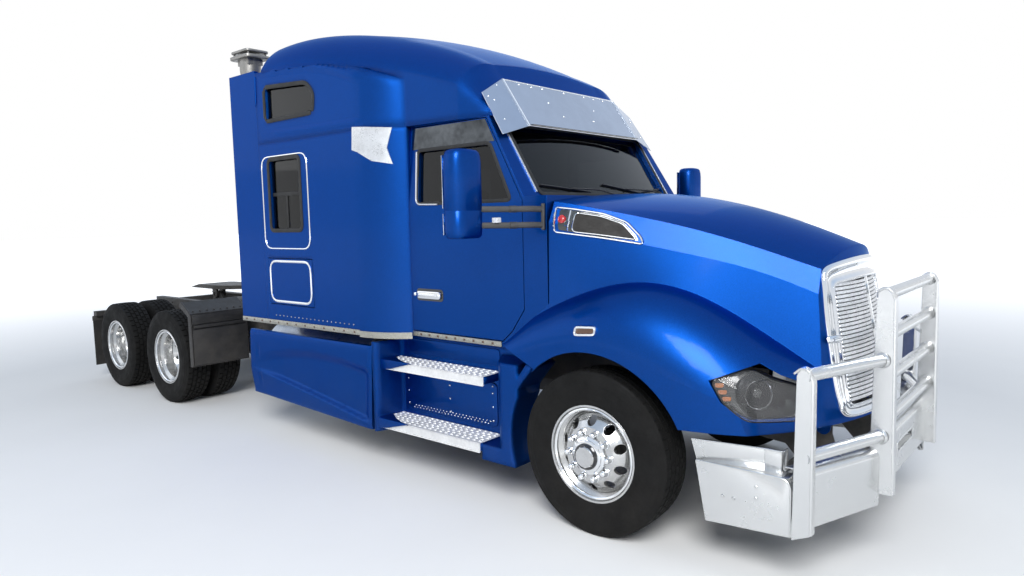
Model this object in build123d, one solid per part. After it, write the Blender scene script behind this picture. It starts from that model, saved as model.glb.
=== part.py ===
from build123d import *
import math
import os

# Road tractor with a high-roof sleeper, millimetres, X forward, Y to the left, Z up from the ground.
# Every piece is drawn with X = 0 at the front axle and moved to the middle of the length when written.

# Wheels and axles
WHEELBASE = 6205.0
TANDEM_SPREAD = 1320.0
DRIVE_X = (-WHEELBASE + TANDEM_SPREAD / 2, -WHEELBASE - TANDEM_SPREAD / 2)
TYRE_R = 507.0
TYRE_W = 280.0
TREAD_W = 226.0
BEAD_R = 290.0
FLANGE_R = 298.5
RIM_W = 232.0
RIM_WALL = 12.0
WELL_R = BEAD_R - 38.0
DISC_T = 14.0
DISC_FLAT_R = 168.0
FRONT_WHEEL_Y = 1050.0
FRONT_OUTSET = 140.0
DUAL_Y = (757.0, 1100.0)
HAND_HOLES = 10
HAND_HOLE_R = 29.0
HAND_HOLE_PCR = 205.0
HUB_R = 105.0
SPINDLE_R = 45.0
FIT = 0.3
GAP = 6.0

# Frame
RAIL_OUT = 432.0
RAIL_FLANGE = 89.0
RAIL_WEB = 9.5
RAIL_H = 273.0
RAIL_TOP = 990.0
RAIL_FRONT_X = 790.0
FRAME_REAR_X = -7560.0
CROSS_X = (-7500.0, -6205.0, -4700.0, -3000.0, -1650.0)
CROSS_T = 80.0
BRACKET_T = 20.0
RADIATOR_X = 800.0
RADIATOR_T = 80.0
RADIATOR_SEAT_Z = 690.0

# Steering
KINGPIN_Y = 870.0
KINGPIN_R = 22.0
EYE_R = 55.0
EYE_H = 100.0
BEAM_DROP_Z = 400.0
FORK_T = 44.0
STEER_ARM_BACK = 200.0
STEER_ARM_Z = 405.0
TIE_ROD_R = 18.0
BALL_R = 26.0

# Drive line, springs and tanks
HOUSING_R = 75.0
DIFF_NOSE = 330.0
SHAFT_Z = 597.0
SHAFT_JOINT_X = -3100.0
SHAFT_JOINT_Z = 660.0
GEARBOX_REAR_X = -1500.0
GEARBOX_OUT_Z = 695.0
ENGINE_X = (-360.0, 560.0)
LEAF_Y = (345.0, 427.0)
AIR_SPRING_Y = 350.0
AIR_SPRING_R = 120.0
TRAIL_ARM_Y = (330.0, 400.0)
TRAIL_ARM_Z = (400.0, 490.0)
TANK_X = (-3700.0, -2250.0)
TANK_Y = 820.0
TANK_Z = 720.0
TANK_R = 300.0

# Cab, sleeper and roof
FLOOR_Z = 1060.0
WALL = 70.0
SKIN_LIP = 20.0
BELT_Z = 2070.0
SEAM_Z = 2620.0
CAB_HALF = 1050.0
CAB_TOP_HALF = 1000.0
SHOULDER_DROP = 40.0
CAB_FRONT_X = -400.0
CAB_REAR_X = -1690.0
SCREEN_X = -520.0
SCREEN_HALF = 870.0
SCREEN_BULGE = 60.0
PILLAR_BACK = 20.0
SCREEN_SLOPE = 0.60
SCREEN_T = 8.0
SLEEPER_HALF = 1220.0
SLEEPER_CORNER_X = -2110.0
SLEEPER_REAR_X = -3450.0
EXTENDER_REAR_X = -3872.0
EXTENDER_T = 40.0
EXTENDER_BOTTOM_Z = 1070.0
EXTENDER_TOP_Z = 3255.0
GLASS_T = 6.0
DOOR_T = 48.0
DOOR_BOTTOM_Z = 1105.0
LUGGAGE_T = 36.0
MOUNT_Y = (350.0, 430.0)
# roof rows: x, half width, arch z at that width, crown z
ROOF_ROWS = (
    (-3450.0, 1150.0, 3270.0, 3595.0),
    (-2650.0, 1110.0, 3200.0, 3565.0),
    (-1890.0, 1062.0, 3065.0, 3385.0),
    (-1500.0, 1045.0, 2965.0, 3245.0),
    (-1170.0, 1030.0, 2860.0, 3080.0),
    (-900.0, 985.0, 2645.0, 2660.0),
)

# Bonnet
HOOD_REAR_X = -386.0
HOOD_T = 22.0
HOOD_BOTTOM_Z = 762.0
HOOD_SIDE_CLEAR = 8.0
ARCH_R = 625.0
ARCH_X = 5.0
ARCH_INNER_Y = 560.0
NOSE_X = 1180.0
NOSE_REF_Z = 1610.0
NOSE_R = 1600.0
NOSE_SLOPE = 0.184
# bonnet rows: x; half width and z of the fender's side and crest, the valley and both creases; crown z
HOOD_ROWS = (
    (-700.0, 1190.0, 1060.0, 1160.0, 1105.0, 1085.0, 1120.0, 1052.0, 1900.0, 990.0, 2035.0, 2090.0),
    (-390.0, 1205.0, 1100.0, 1150.0, 1270.0, 1060.0, 1350.0, 1048.0, 1900.0, 985.0, 2030.0, 2085.0),
    (0.0, 1220.0, 1150.0, 1115.0, 1420.0, 945.0, 1505.0, 915.0, 1800.0, 850.0, 1950.0, 2065.0),
    (350.0, 1210.0, 1100.0, 1090.0, 1400.0, 850.0, 1512.0, 800.0, 1715.0, 740.0, 1865.0, 2000.0),
    (700.0, 1160.0, 980.0, 1040.0, 1235.0, 748.0, 1360.0, 690.0, 1630.0, 630.0, 1757.0, 1900.0),
    (1000.0, 1030.0, 890.0, 880.0, 1080.0, 665.0, 1160.0, 590.0, 1520.0, 530.0, 1645.0, 1790.0),
    (1320.0, 620.0, 800.0, 600.0, 850.0, 570.0, 900.0, 500.0, 1400.0, 430.0, 1540.0, 1670.0),
)
HINGE_X = 1120.0
HINGE_Z = 700.0
HINGE_PIN_R = 16.0
HINGE_LUG_R = 38.0
GRILLE_HALF = 475.0
GRILLE_TOP_Z = 1600.0
GRILLE_BOTTOM_Z = 790.0
GRILLE_FRAME = 60.0
GRILLE_TAPER = 40.0
GRILLE_BARS = 21
HEADLAMP_OUTLINE = (
    (730.0, 1045.0), (925.0, 1125.0), (1100.0, 1010.0), (1115.0, 835.0), (925.0, 845.0), (800.0, 930.0),
)
HEADLAMP_INNER_Y = 700.0
HEADLAMP_T = 60.0

# Bumper and front guard
GUARD_INNER_Y = 565.0
GUARD_OUTER_Y = 1130.0
GUARD_PLATE_T = 16.0
GUARD_INNER_X = (1385.0, 1500.0)
GUARD_OUTER_X = (1175.0, 1262.0)
GUARD_MIDDLE_X = (GUARD_INNER_X[0] + GUARD_INNER_X[1]) / 2
GUARD_SIDE_X = GUARD_OUTER_X[1] - 42
GUARD_FACE_X = GUARD_OUTER_X[1] - 30
GUARD_TUBE_R = 33.0
GUARD_HINGE_X = 1200.0
GUARD_HINGE_Z = 320.0
GUARD_PIN_R = 20.0
FACE_T = 10.0
FACE_TOP_Z = 655.0
WRAP_X = (640.0, 1160.0)
WRAP_Y = 1105.0
WRAP_BOTTOM_Z = 255.0
WRAP_TOP_Z = 585.0
LEDGE_TOP_Z = 700.0
LEDGE_FLARE = 12.0
FACE_BOTTOM_Z = 345.0
CENTRE_FACE_Z = (415.0, 700.0)
SLOT_HALF = 190.0
SLOT_Z = (540.0, 600.0)
SIDE_TUBE_Z = (720.0, 1130.0)
SIDE_TUBE_RISE = 10.0
CENTRE_TUBE_Z = (810.0, 1035.0, 1260.0, 1485.0)

# Fifth wheel
FIFTH_X = -5900.0
FIFTH_TOP_Z = 1215.0
FIFTH_R = 480.0
FIFTH_T = 45.0
KINGPIN_BORE_R = 25.65
THROAT_HALF = 46.0
FIFTH_PIVOT_R = 25.0
FIFTH_PIVOT_DROP = 110.0
FIFTH_FOOT_Y = 400.0
FIFTH_REAR = 520.0

# Lower bodywork and rear end; outlines are (x, z)
FAIRING_Y = 1215.0
FAIRING_T = 30.0
FAIRING_OUTLINE = ((-3830.0, 355.0), (-2050.0, 300.0), (-2010.0, 970.0), (-3800.0, 960.0))
FAIRING_STAY_X = (-2900.0, -2860.0)
STEP_BACK_Y = 960.0
STEP_FRONT_Y = 1190.0
STEP_BACK_OUTLINE = (
    (-2000.0, 300.0), (-620.0, 300.0), (-640.0, 507.0), (-520.0, 1000.0), (-700.0, 1040.0), (-2000.0, 1040.0),
)
STEP_FRONT_OUTLINE = (
    (-640.0, 300.0), (-600.0, 300.0), (-640.0, 507.0), (-560.0, 830.0), (-430.0, 985.0), (-480.0, 1000.0),
    (-600.0, 840.0), (-680.0, 507.0),
)
# the curved walls behind and ahead of the treads, as (x, y) on the right-hand side
STEP_CHEEK_PLAN = (
    (-2000.0, -1210.0), (-1980.0, -1196.0), (-1964.0, -1160.0), (-1946.0, -1075.0), (-1934.0, -990.0),
    (-1928.0, -950.0), (-1950.0, -950.0), (-1964.0, -1060.0), (-1984.0, -1150.0), (-2000.0, -1180.0),
)
STEP_CHEEK_Z = (300.0, 1005.0)
STEP_POST_PLAN = (
    (-885.0, -950.0), (-885.0, -962.0), (-852.0, -1000.0), (-795.0, -1085.0), (-745.0, -1155.0),
    (-705.0, -1186.0), (-680.0, -1190.0), (-560.0, -1190.0), (-560.0, -950.0),
)
STEP_POST_Z = (300.0, 985.0)
STEP_SILL_Z = (300.0, 405.0)
# tread rows: top z, outer y
TREADS = ((860.0, 1150.0), (410.0, 1200.0))
TREAD_T = 50.0
TREAD_X = (-1960.0, -880.0)
STEP_ARM_X = (-1500.0, -1440.0)
STEP_ARM_Z = (740.0, 820.0)
QUARTER_Y = (600.0, 1235.0)
QUARTER_OUTLINE = (
    (-4925.0, 460.0), (-4925.0, 1020.0), (-5120.0, 1130.0), (-5150.0, 1090.0),
    (-4965.0, 985.0), (-4965.0, 460.0),
)
LAMP_BAR_HALF = 1192.0
LAMP_BAR_Z = (806.0, 866.0)
FLAP_Y = (620.0, 1210.0)
FLAP_BOTTOM_Z = 170.0
DECK_X = (-4650.0, -4125.0)
DECK_HALF = 420.0

# Cab's inside
STEER_WHEEL_X = -1030.0
STEER_WHEEL_Y = 480.0
STEER_WHEEL_Z = 1810.0
STEER_WHEEL_R = 215.0
SEAT_X = (-1600.0, -1160.0)
SEAT_Y = (260.0, 740.0)
SEAT_Z = (1440.0, 1560.0)
SEAT_BACK_Z = 2240.0
BUNK_X = (-3380.0, -2500.0)
BUNK_Z = 1560.0
MATTRESS_T = 160.0

# Sun visor
VISOR_HALF = 720.0
VISOR_WING_Y = 985.0
VISOR_TOP_Z = 2915.0
VISOR_BOTTOM_Z = 2562.0
VISOR_TIP_Z = 2488.0
VISOR_SHOULDER_Z = 2790.0
VISOR_X = -741.0
VISOR_SWEEP = 60.0
VISOR_SLOPE = 0.675
VISOR_T = 6.0

# Mirrors
MIRROR_X = -690.0
MIRROR_Y = 1500.0
MIRROR_Z = (1810.0, 2350.0)
MIRROR_HALF = (125.0, 82.0)
MIRROR_FOOT_X = -429.0
MIRROR_BEND = (-470.0, -1180.0)
MIRROR_ARM_Z = (1885.0, 1985.0)
MIRROR_ARM_R = 16.0

# Exhaust stack
STACK_X = -4080.0
STACK_Y = -880.0
STACK_R = 62.0
STACK_BOTTOM_Z = 1060.0
STACK_TOP_Z = 3500.0

FRONT_END_X = GUARD_INNER_X[1]
REAR_END_X = -7650.0
MIDDLE_X = (FRONT_END_X + REAR_END_X) / 2

nodes = {}


def block(x0, x1, y0, y1, z0, z1):
    """A plain box between two corners."""
    return Pos((x0 + x1) / 2, (y0 + y1) / 2, (z0 + z1) / 2) * Box(abs(x1 - x0), abs(y1 - y0), abs(z1 - z0))


def both(shape):
    """The shape and its mirror image on the left side."""
    return shape + mirror(shape, about=Plane.XZ)


def other_side(shape, side):
    """The right-hand shape for side -1, its mirror image for side 1."""
    return shape if side < 0 else mirror(shape, about=Plane.XZ)


def side_prism(points, y0, y1):
    """An outline of (x, z) points, filled from y0 to y1."""
    face = Plane.XZ * make_face(Polyline(*points, close=True))
    return extrude(Pos(0, y0, 0) * face, amount=y1 - y0, dir=(0, 1, 0))


def front_prism(points, x0, x1):
    """An outline of (y, z) points, filled from x0 to x1."""
    face = Plane.YZ * make_face(Polyline(*points, close=True))
    return extrude(Pos(x0, 0, 0) * face, amount=x1 - x0, dir=(1, 0, 0))


def plan_prism(edges, z0, z1, lean=0.0):
    """A closed plan outline filled from z0 to z1, leaning back by lean for each unit of height."""
    face = Pos(0, 0, z0) * make_face(edges)
    return extrude(face, amount=(z1 - z0) * math.hypot(1, lean), dir=(-lean, 0, 1))


def rod(p, q, radius):
    """A round bar from p to q."""
    start, end = Vector(*p), Vector(*q)
    axis = end - start
    bar = Cylinder(radius, axis.length, align=(Align.CENTER, Align.CENTER, Align.MIN))
    return Plane(origin=start, z_dir=axis) * bar


def disc_y(x, z, radius, y0, y1):
    """A round bar across the vehicle."""
    return rod((x, y0, z), (x, y1, z), radius)


def turned(profile, x, y, z, side):
    """A profile of (distance outboard, radius) points turned about the wheel's axis at x, y, z."""
    points = [(radius, out) for out, radius in profile]
    body = revolve(make_face(Polyline(*points, close=True)), axis=Axis.Y)
    body = body if side > 0 else mirror(body, about=Plane.XZ)
    return Pos(x, y, z) * body


# Wheels
def tyre(x, y, side):
    half, tread = TYRE_W / 2, TREAD_W / 2
    shoulder, wall = TYRE_R - 34, TYRE_R - 105
    profile = (
        (-RIM_W / 2, BEAD_R), (-RIM_W / 2, FLANGE_R + FIT), (-half + 6, BEAD_R + 60), (-half, wall),
        (-half + 12, shoulder), (-tread, TYRE_R - 4), (-tread + 22, TYRE_R),
        (tread - 22, TYRE_R), (tread, TYRE_R - 4),
        (half - 12, shoulder), (half, wall), (half - 6, BEAD_R + 60),
        (RIM_W / 2, FLANGE_R + FIT), (RIM_W / 2, BEAD_R),
    )
    return turned(profile, x, y, TYRE_R, side)


def rim(x, y, side, outset):
    """A ten-hole disc wheel; outset is its disc's outer face, outboard of the middle plane above 0."""
    half = RIM_W / 2 + FIT
    seat, well = BEAD_R - FIT, WELL_R
    barrel = (
        (-half - 8, FLANGE_R - 12), (-half - 8, FLANGE_R), (-half, FLANGE_R),
        (-half, seat), (-half + 40, seat),
        (-half + 70, well), (half - 70, well), (half - 40, seat), (half, seat), (half, FLANGE_R),
        (half + 8, FLANGE_R), (half + 8, FLANGE_R - 12), (half - 36, seat - RIM_WALL),
        (half - 66, well - RIM_WALL), (-half + 66, well - RIM_WALL), (-half + 36, seat - RIM_WALL),
    )
    toward = 1 if outset > 0 else -1
    face, root, root_r = abs(outset), half - 50, well - RIM_WALL / 2
    disc = [
        (face - DISC_T, SPINDLE_R + FIT), (face, SPINDLE_R + FIT),
        (face, DISC_FLAT_R), (face - 28, DISC_FLAT_R + 37),
        (root, root_r), (root - DISC_T, root_r), (face - 46, DISC_FLAT_R + 29),
        (face - DISC_T, DISC_FLAT_R - 8),
    ]
    disc = [(toward * out, radius) for out, radius in disc]
    wheel = turned(barrel, x, y, TYRE_R, side) + turned(disc, x, y, TYRE_R, side)
    holes = Part()
    for i in range(HAND_HOLES):
        angle = 2 * math.pi * (i + 0.5) / HAND_HOLES
        hx, hz = x + HAND_HOLE_PCR * math.cos(angle), TYRE_R + HAND_HOLE_PCR * math.sin(angle)
        holes += disc_y(hx, hz, HAND_HOLE_R, y - TYRE_W, y + TYRE_W)
    return wheel - holes


def hub(x, y, side, reach_in, reach_out):
    """The hub barrel round the spindle inboard of the disc's face at y, with its closed cap outboard."""
    profile = (
        (-reach_in, SPINDLE_R + FIT), (-reach_in, HUB_R), (0, HUB_R), (0, HUB_R - 15), (reach_out - 30, 78),
        (reach_out, 60), (reach_out, 0), (reach_out - 22, 0), (reach_out - 22, SPINDLE_R + FIT),
    )
    return turned(profile, x, y, TYRE_R, side)


def front_wheel(side, name):
    y = side * FRONT_WHEEL_Y
    face_y = y + side * FRONT_OUTSET
    nodes["front_tyre_" + name] = tyre(0, y, side)
    nodes["front_rim_" + name] = rim(0, y, side, FRONT_OUTSET) + hub(0, face_y, side, 120.0, 62.0)


def rear_wheels(side, name):
    """Two twin-wheel bodies on one side, each turning as one piece."""
    inner, outer = DUAL_Y
    outset = (outer - inner) / 2
    hub_y = side * (inner + outset + DISC_T)
    for number, x in enumerate(DRIVE_X, 1):
        tyres = tyre(x, side * inner, side) + tyre(x, side * outer, side)
        rims = rim(x, side * inner, side, outset) + rim(x, side * outer, side, -outset)
        rims += hub(x, hub_y, side, 150.0, 130.0)
        nodes["drive_tyres_%d_%s" % (number, name)] = tyres
        nodes["drive_rims_%d_%s" % (number, name)] = rims


# Axles, steering and frame
def front_axle():
    """A dropped beam with an upright eye for the kingpin at each end."""
    low, high = BEAM_DROP_Z, BEAM_DROP_Z + EYE_H
    eye_low, eye_high = TYRE_R - EYE_H / 2, TYRE_R + EYE_H / 2
    points = (
        (-KINGPIN_Y, eye_low), (-KINGPIN_Y, eye_high), (-640, eye_high), (-480, high),
        (480, high), (640, eye_high), (KINGPIN_Y, eye_high), (KINGPIN_Y, eye_low),
        (640, eye_low), (480, low), (-480, low), (-640, eye_low),
    )
    beam = front_prism(points, -45, 45)
    for side in (-1, 1):
        beam += Pos(0, side * KINGPIN_Y, TYRE_R) * Cylinder(EYE_R, EYE_H)
    for side in (-1, 1):
        beam -= Pos(0, side * KINGPIN_Y, TYRE_R) * Cylinder(KINGPIN_R + FIT, EYE_H + 2)
    return beam


def drive_axle(x):
    """Axle housing with its differential bowl and input, ending in a spindle on each side."""
    housing_half = DUAL_Y[0] - TYRE_W / 2 - 57
    spindle_half = (DUAL_Y[0] + DUAL_Y[1]) / 2 + 90
    housing = disc_y(x, TYRE_R, HOUSING_R, -housing_half, housing_half)
    housing += disc_y(x, TYRE_R, SPINDLE_R, -spindle_half, spindle_half)
    bowl = disc_y(x, TYRE_R, 215, -130, 130)
    nose = rod((x, 0, TYRE_R + 40), (x + DIFF_NOSE, 0, SHAFT_Z), 80)
    return housing + bowl + nose


def axles():
    """The front beam and both driven axles, joined by the propeller shafts up to the gearbox."""
    joint = (SHAFT_JOINT_X, 0, SHAFT_JOINT_Z)
    shafts = rod((DRIVE_X[1] + DIFF_NOSE, 0, SHAFT_Z), (DRIVE_X[0] - 210, 0, SHAFT_Z - 30), 45)
    shafts += rod((DRIVE_X[0] + DIFF_NOSE - 5, 0, SHAFT_Z), joint, 55)
    shafts += Pos(*joint) * Sphere(62)
    shafts += rod(joint, (GEARBOX_REAR_X - 5 * FIT, 0, GEARBOX_OUT_Z), 55)
    return front_axle() + drive_axle(DRIVE_X[0]) + drive_axle(DRIVE_X[1]) + shafts


def frame():
    """Two channel rails with crossmembers, and at the front the arms for the bonnet and guard hinges."""
    web_y = RAIL_OUT - RAIL_WEB
    bottom = RAIL_TOP - RAIL_H
    rail = block(FRAME_REAR_X, RAIL_FRONT_X, web_y, RAIL_OUT, bottom, RAIL_TOP)
    for z in (bottom, RAIL_TOP - RAIL_WEB):
        rail += block(FRAME_REAR_X, RAIL_FRONT_X, RAIL_OUT - RAIL_FLANGE, RAIL_OUT, z, z + RAIL_WEB)
    ladder = both(rail)
    for x in CROSS_X:
        ladder += block(x, x + CROSS_T, -web_y, web_y, bottom + 40, RAIL_TOP - 40)
        ladder -= block(x - 1, x + CROSS_T - RAIL_WEB, -web_y + 30, web_y - 30, bottom + 50, RAIL_TOP - 50)
    arm_points = (
        (560, bottom + 30), (RAIL_FRONT_X + 40, bottom + 30), (HINGE_X + 40, HINGE_Z + 40),
        (HINGE_X + 40, HINGE_Z - 40), (GUARD_HINGE_X + 45, GUARD_HINGE_Z + 60),
        (GUARD_HINGE_X + 45, GUARD_HINGE_Z - 45), (GUARD_HINGE_X - 45, GUARD_HINGE_Z - 45),
        (900, 560), (560, bottom - 120),
    )
    arm = side_prism(arm_points, RAIL_OUT, RAIL_OUT + BRACKET_T)
    arm -= disc_y(HINGE_X, HINGE_Z, HINGE_PIN_R + FIT, RAIL_OUT - 5, RAIL_OUT + BRACKET_T + 5)
    pin = disc_y(GUARD_HINGE_X, GUARD_HINGE_Z, GUARD_PIN_R, RAIL_OUT + 10, RAIL_OUT + 80)
    seat_half, seat_rear = RAIL_OUT + 1, RADIATOR_X + RADIATOR_T
    seat = block(RADIATOR_X, seat_rear, -seat_half, seat_half, RADIATOR_SEAT_Z - 70, RADIATOR_SEAT_Z)
    return ladder + both(arm + pin) + seat


def knuckle(side):
    """Fork round the axle's eye with its kingpin, the spindle, and the arm to the tie rod."""
    y, z = side * KINGPIN_Y, TYRE_R
    fork_low, fork_high = EYE_H / 2 + FIT, EYE_H / 2 + FIT + FORK_T
    plate_y, plate_out = y + side * (EYE_R + 8), y + side * (EYE_R + 34)
    body = Pos(0, y, z) * Cylinder(KINGPIN_R, 2 * fork_high)
    body += block(-EYE_R, EYE_R, plate_y, plate_out, z - fork_high, z + fork_high)
    for low, high in ((z + fork_low, z + fork_high), (z - fork_high, z - fork_low)):
        body += Pos(0, y, (low + high) / 2) * Cylinder(EYE_R, FORK_T)
        body += block(-EYE_R + 10, EYE_R - 10, y, plate_y + side * 2, low, high)
    body += disc_y(0, z, SPINDLE_R, plate_y, side * (FRONT_WHEEL_Y + FRONT_OUTSET))
    boss_z = STEER_ARM_Z + 14
    body += rod((0, y, z - fork_low - 30), (-STEER_ARM_BACK, y, boss_z), 14)
    return body + Pos(-STEER_ARM_BACK, y, boss_z) * Cylinder(BALL_R, 28)


def tie_rod():
    """The bar between the steering arms, with an eye under each arm's boss."""
    eye_h = 2 * TIE_ROD_R + 6
    z = STEER_ARM_Z - FIT - eye_h / 2
    bar = rod((-STEER_ARM_BACK, -KINGPIN_Y, z), (-STEER_ARM_BACK, KINGPIN_Y, z), TIE_ROD_R)
    for side in (-1, 1):
        bar += Pos(-STEER_ARM_BACK, side * KINGPIN_Y, z) * Cylinder(BALL_R, eye_h)
    return bar


def suspension():
    """Front leaf springs, and an air spring with its trailing arm at each end of each driven axle."""
    top, pad = RAIL_TOP - RAIL_H, BEAM_DROP_Z + EYE_H + FIT
    y0, y1 = LEAF_Y
    leaf_points = (
        (-760, top - 60), (-700, top - 60), (-120, pad + 20), (120, pad + 20),
        (640, top - 70), (700, top - 70),
        (640, top - 110), (120, pad), (-120, pad), (-700, top - 100), (-760, top - 100),
    )
    springs = side_prism(leaf_points, y0, y1)
    springs += block(-760, -700, y0, y1, top - 90, top) + block(600, 690, y0, y1, top - 100, top)
    low, high = TRAIL_ARM_Z
    for x in DRIVE_X:
        springs += Pos(x - 260, AIR_SPRING_Y, (top + high) / 2) * Cylinder(AIR_SPRING_R, top - high)
        arm_points = (
            (x + 560, top), (x + 640, top), (x + 620, 600), (x + 90, low), (x - 400, low),
            (x - 400, high), (x + 90, high), (x + 540, 640),
        )
        springs += side_prism(arm_points, TRAIL_ARM_Y[0], TRAIL_ARM_Y[1])
        springs -= disc_y(x, TYRE_R, HOUSING_R + FIT, 300, 420)
    return both(springs)


def engine():
    """Engine and gearbox, on a mount to each rail."""
    body = block(ENGINE_X[0], ENGINE_X[1], -330, 330, 640, 1540) + block(-340, 300, -180, 180, 540, 640)
    body += block(GEARBOX_REAR_X, ENGINE_X[0], -230, 230, 560, 1000)
    return body + both(block(-200, -120, 325, RAIL_OUT - RAIL_WEB, 780, 860))


def radiator():
    return block(RADIATOR_X, RADIATOR_X + RADIATOR_T, -400, 400, RADIATOR_SEAT_Z, 1480)


def fuel_tanks():
    """A round tank each side with two straps to the rail."""
    tank = rod((TANK_X[0], TANK_Y, TANK_Z), (TANK_X[1], TANK_Y, TANK_Z), TANK_R)
    for x in (TANK_X[0] + 250, TANK_X[1] - 250):
        tank += block(x, x + 60, RAIL_OUT, TANK_Y - 200, RAIL_TOP - 200, RAIL_TOP - 60)
    return both(tank)


# Cab, sleeper and roof
def cab_front(z0, z1, inset):
    """The space behind the leaning windscreen and its pillars, from z0 to z1."""
    centre = SCREEN_X - inset - (z0 - BELT_Z) * SCREEN_SLOPE
    corner = centre - SCREEN_BULGE
    outer, outer_half = corner - PILLAR_BACK, CAB_HALF + 200
    edges = [
        ThreePointArc((corner, -SCREEN_HALF), (centre, 0), (corner, SCREEN_HALF)),
        Line((corner, SCREEN_HALF), (outer, outer_half)), Line((outer, outer_half), (-6000, outer_half)),
        Line((-6000, outer_half), (-6000, -outer_half)), Line((-6000, -outer_half), (outer, -outer_half)),
        Line((outer, -outer_half), (corner, -SCREEN_HALF)),
    ]
    return plan_prism(edges, z0, z1, lean=SCREEN_SLOPE)


def cab_sides(inset, top_z):
    """The cab's whole length between its sides and above its floor, drawn in by inset."""
    half, belt, low = CAB_HALF - inset, BELT_Z - SHOULDER_DROP, FLOOR_Z + inset
    top_half = half - (CAB_HALF - CAB_TOP_HALF) * (top_z - belt) / (SEAM_Z - belt)
    section = ((-half, low), (-half, belt), (-top_half, top_z), (top_half, top_z), (half, belt), (half, low))
    return front_prism(section, CAB_REAR_X - inset * 2, CAB_FRONT_X - inset)


def cab_body(inset, top_z):
    """The cab's form behind the bonnet, drawn in by inset on the sides, the front and the cowl's top."""
    whole = cab_sides(inset, top_z)
    cowl = BELT_Z - inset
    lower = whole - block(-3000, 0, -2000, 2000, cowl, 4000)
    return lower + (whole & cab_front(cowl, top_z + 10, inset))


def sleeper_plan(inset, front_x=CAB_REAR_X):
    """The sleeper's plan, with its round front corners running in to the cab's width."""
    half, cab_half = SLEEPER_HALF - inset, CAB_HALF - inset
    run, drop = front_x - SLEEPER_CORNER_X, half - cab_half
    radius = (run ** 2 + drop ** 2) / (2 * drop)
    middle = math.asin(run / radius) / 2
    mid = (SLEEPER_CORNER_X + radius * math.sin(middle), half - radius * (1 - math.cos(middle)))
    rear = SLEEPER_REAR_X + inset
    return [
        Line((rear, -half), (SLEEPER_CORNER_X, -half)),
        ThreePointArc((SLEEPER_CORNER_X, -half), (mid[0], -mid[1]), (front_x, -cab_half)),
        Line((front_x, -cab_half), (front_x, cab_half)),
        ThreePointArc((front_x, cab_half), mid, (SLEEPER_CORNER_X, half)),
        Line((SLEEPER_CORNER_X, half), (rear, half)), Line((rear, half), (rear, -half)),
    ]


DOOR_OUTLINE = (
    (-1725, DOOR_BOTTOM_Z), (-790, DOOR_BOTTOM_Z), (-705, 1180), (-600, 1330), (-600, 2040), (-635, 2100),
    (-940, SEAM_Z - 12), (-1672, SEAM_Z - 12),
)
DOOR_WINDOW = ((-1590, 2060), (-715, 2060), (-905, 2430), (-1600, 2430))
LUGGAGE_DOOR = ((-3380, 1230), (-2720, 1230), (-2720, 1625), (-3380, 1625))
LOWER_WINDOW = ((-3300, 1880), (-2840, 1880), (-2840, 2470), (-3300, 2470))
ROOF_SIDE_TOP = ((SLEEPER_REAR_X, 3235), (-2500, 3170), (-2050, 3080), (CAB_REAR_X, 2960))
UPPER_WINDOW = ((-3300, 2810), (-2620, 2815), (-2600, 2960), (-2700, 3050), (-3300, 3090))
SCREEN_OUTLINE = ((-850, 2090), (850, 2090), (860, 2560), (-860, 2560))


def side_cut(points, grow, y0, y1):
    """A prism across the side whose outline is grown all round."""
    sketch = make_face(Polyline(*points, close=True))
    if grow:
        sketch = offset(sketch, grow, kind=Kind.INTERSECTION)
    return extrude(Pos(0, y0, 0) * (Plane.XZ * sketch), amount=y1 - y0, dir=(0, 1, 0))


def cab_shell():
    """The cab's shell on its two mounts, with a jamb behind each door and the windscreen's opening."""
    shell = cab_body(0, SEAM_Z) - cab_body(WALL, SEAM_Z + 20)
    pocket = side_cut(DOOR_OUTLINE, GAP, -CAB_HALF - 50, -CAB_TOP_HALF + DOOR_T + FIT + 2)
    shell -= both(pocket - cab_sides(DOOR_T + FIT, SEAM_Z + 20))
    shell -= both(side_cut(DOOR_OUTLINE, -SKIN_LIP, -CAB_HALF - 50, -CAB_TOP_HALF + WALL + 10))
    shell -= front_prism(SCREEN_OUTLINE, -1250, 0)
    return shell + both(block(-640, -540, MOUNT_Y[0], MOUNT_Y[1], RAIL_TOP + FIT, FLOOR_Z + 1))


def door(side):
    skin = cab_body(0, SEAM_Z) - cab_sides(DOOR_T, SEAM_Z + 20)
    panel = skin & side_cut(DOOR_OUTLINE, 0, -CAB_HALF - 50, -CAB_TOP_HALF + DOOR_T)
    panel -= side_cut(DOOR_WINDOW, 0, -CAB_HALF - 50, -700)
    return other_side(panel, side)


def door_glass(side):
    middle = DOOR_T / 2
    pane = cab_body(middle, SEAM_Z) - cab_body(middle + GLASS_T, SEAM_Z + 20)
    return other_side(pane & side_cut(DOOR_WINDOW, 0, -CAB_HALF - 50, -700), side)


def sleeper_shell():
    """The sleeper's walls and floor on its two mounts, open to the cab and to the roof."""
    shell = plan_prism(sleeper_plan(0), FLOOR_Z, SEAM_Z)
    shell -= plan_prism(sleeper_plan(WALL), FLOOR_Z + WALL, SEAM_Z + 20)
    shell -= both(side_cut(LOWER_WINDOW, 0, -SLEEPER_HALF - 50, -SLEEPER_HALF + WALL + 20))
    shell -= both(side_cut(LUGGAGE_DOOR, GAP, -SLEEPER_HALF - 50, -SLEEPER_HALF + LUGGAGE_T + FIT))
    shell -= both(side_cut(LUGGAGE_DOOR, -SKIN_LIP, -SLEEPER_HALF - 50, -SLEEPER_HALF + WALL + 20))
    return shell + both(block(-3300, -3200, MOUNT_Y[0], MOUNT_Y[1], RAIL_TOP + FIT, FLOOR_Z + 1))


def luggage_door(side):
    return other_side(side_cut(LUGGAGE_DOOR, 0, -SLEEPER_HALF, -SLEEPER_HALF + LUGGAGE_T), side)


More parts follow.
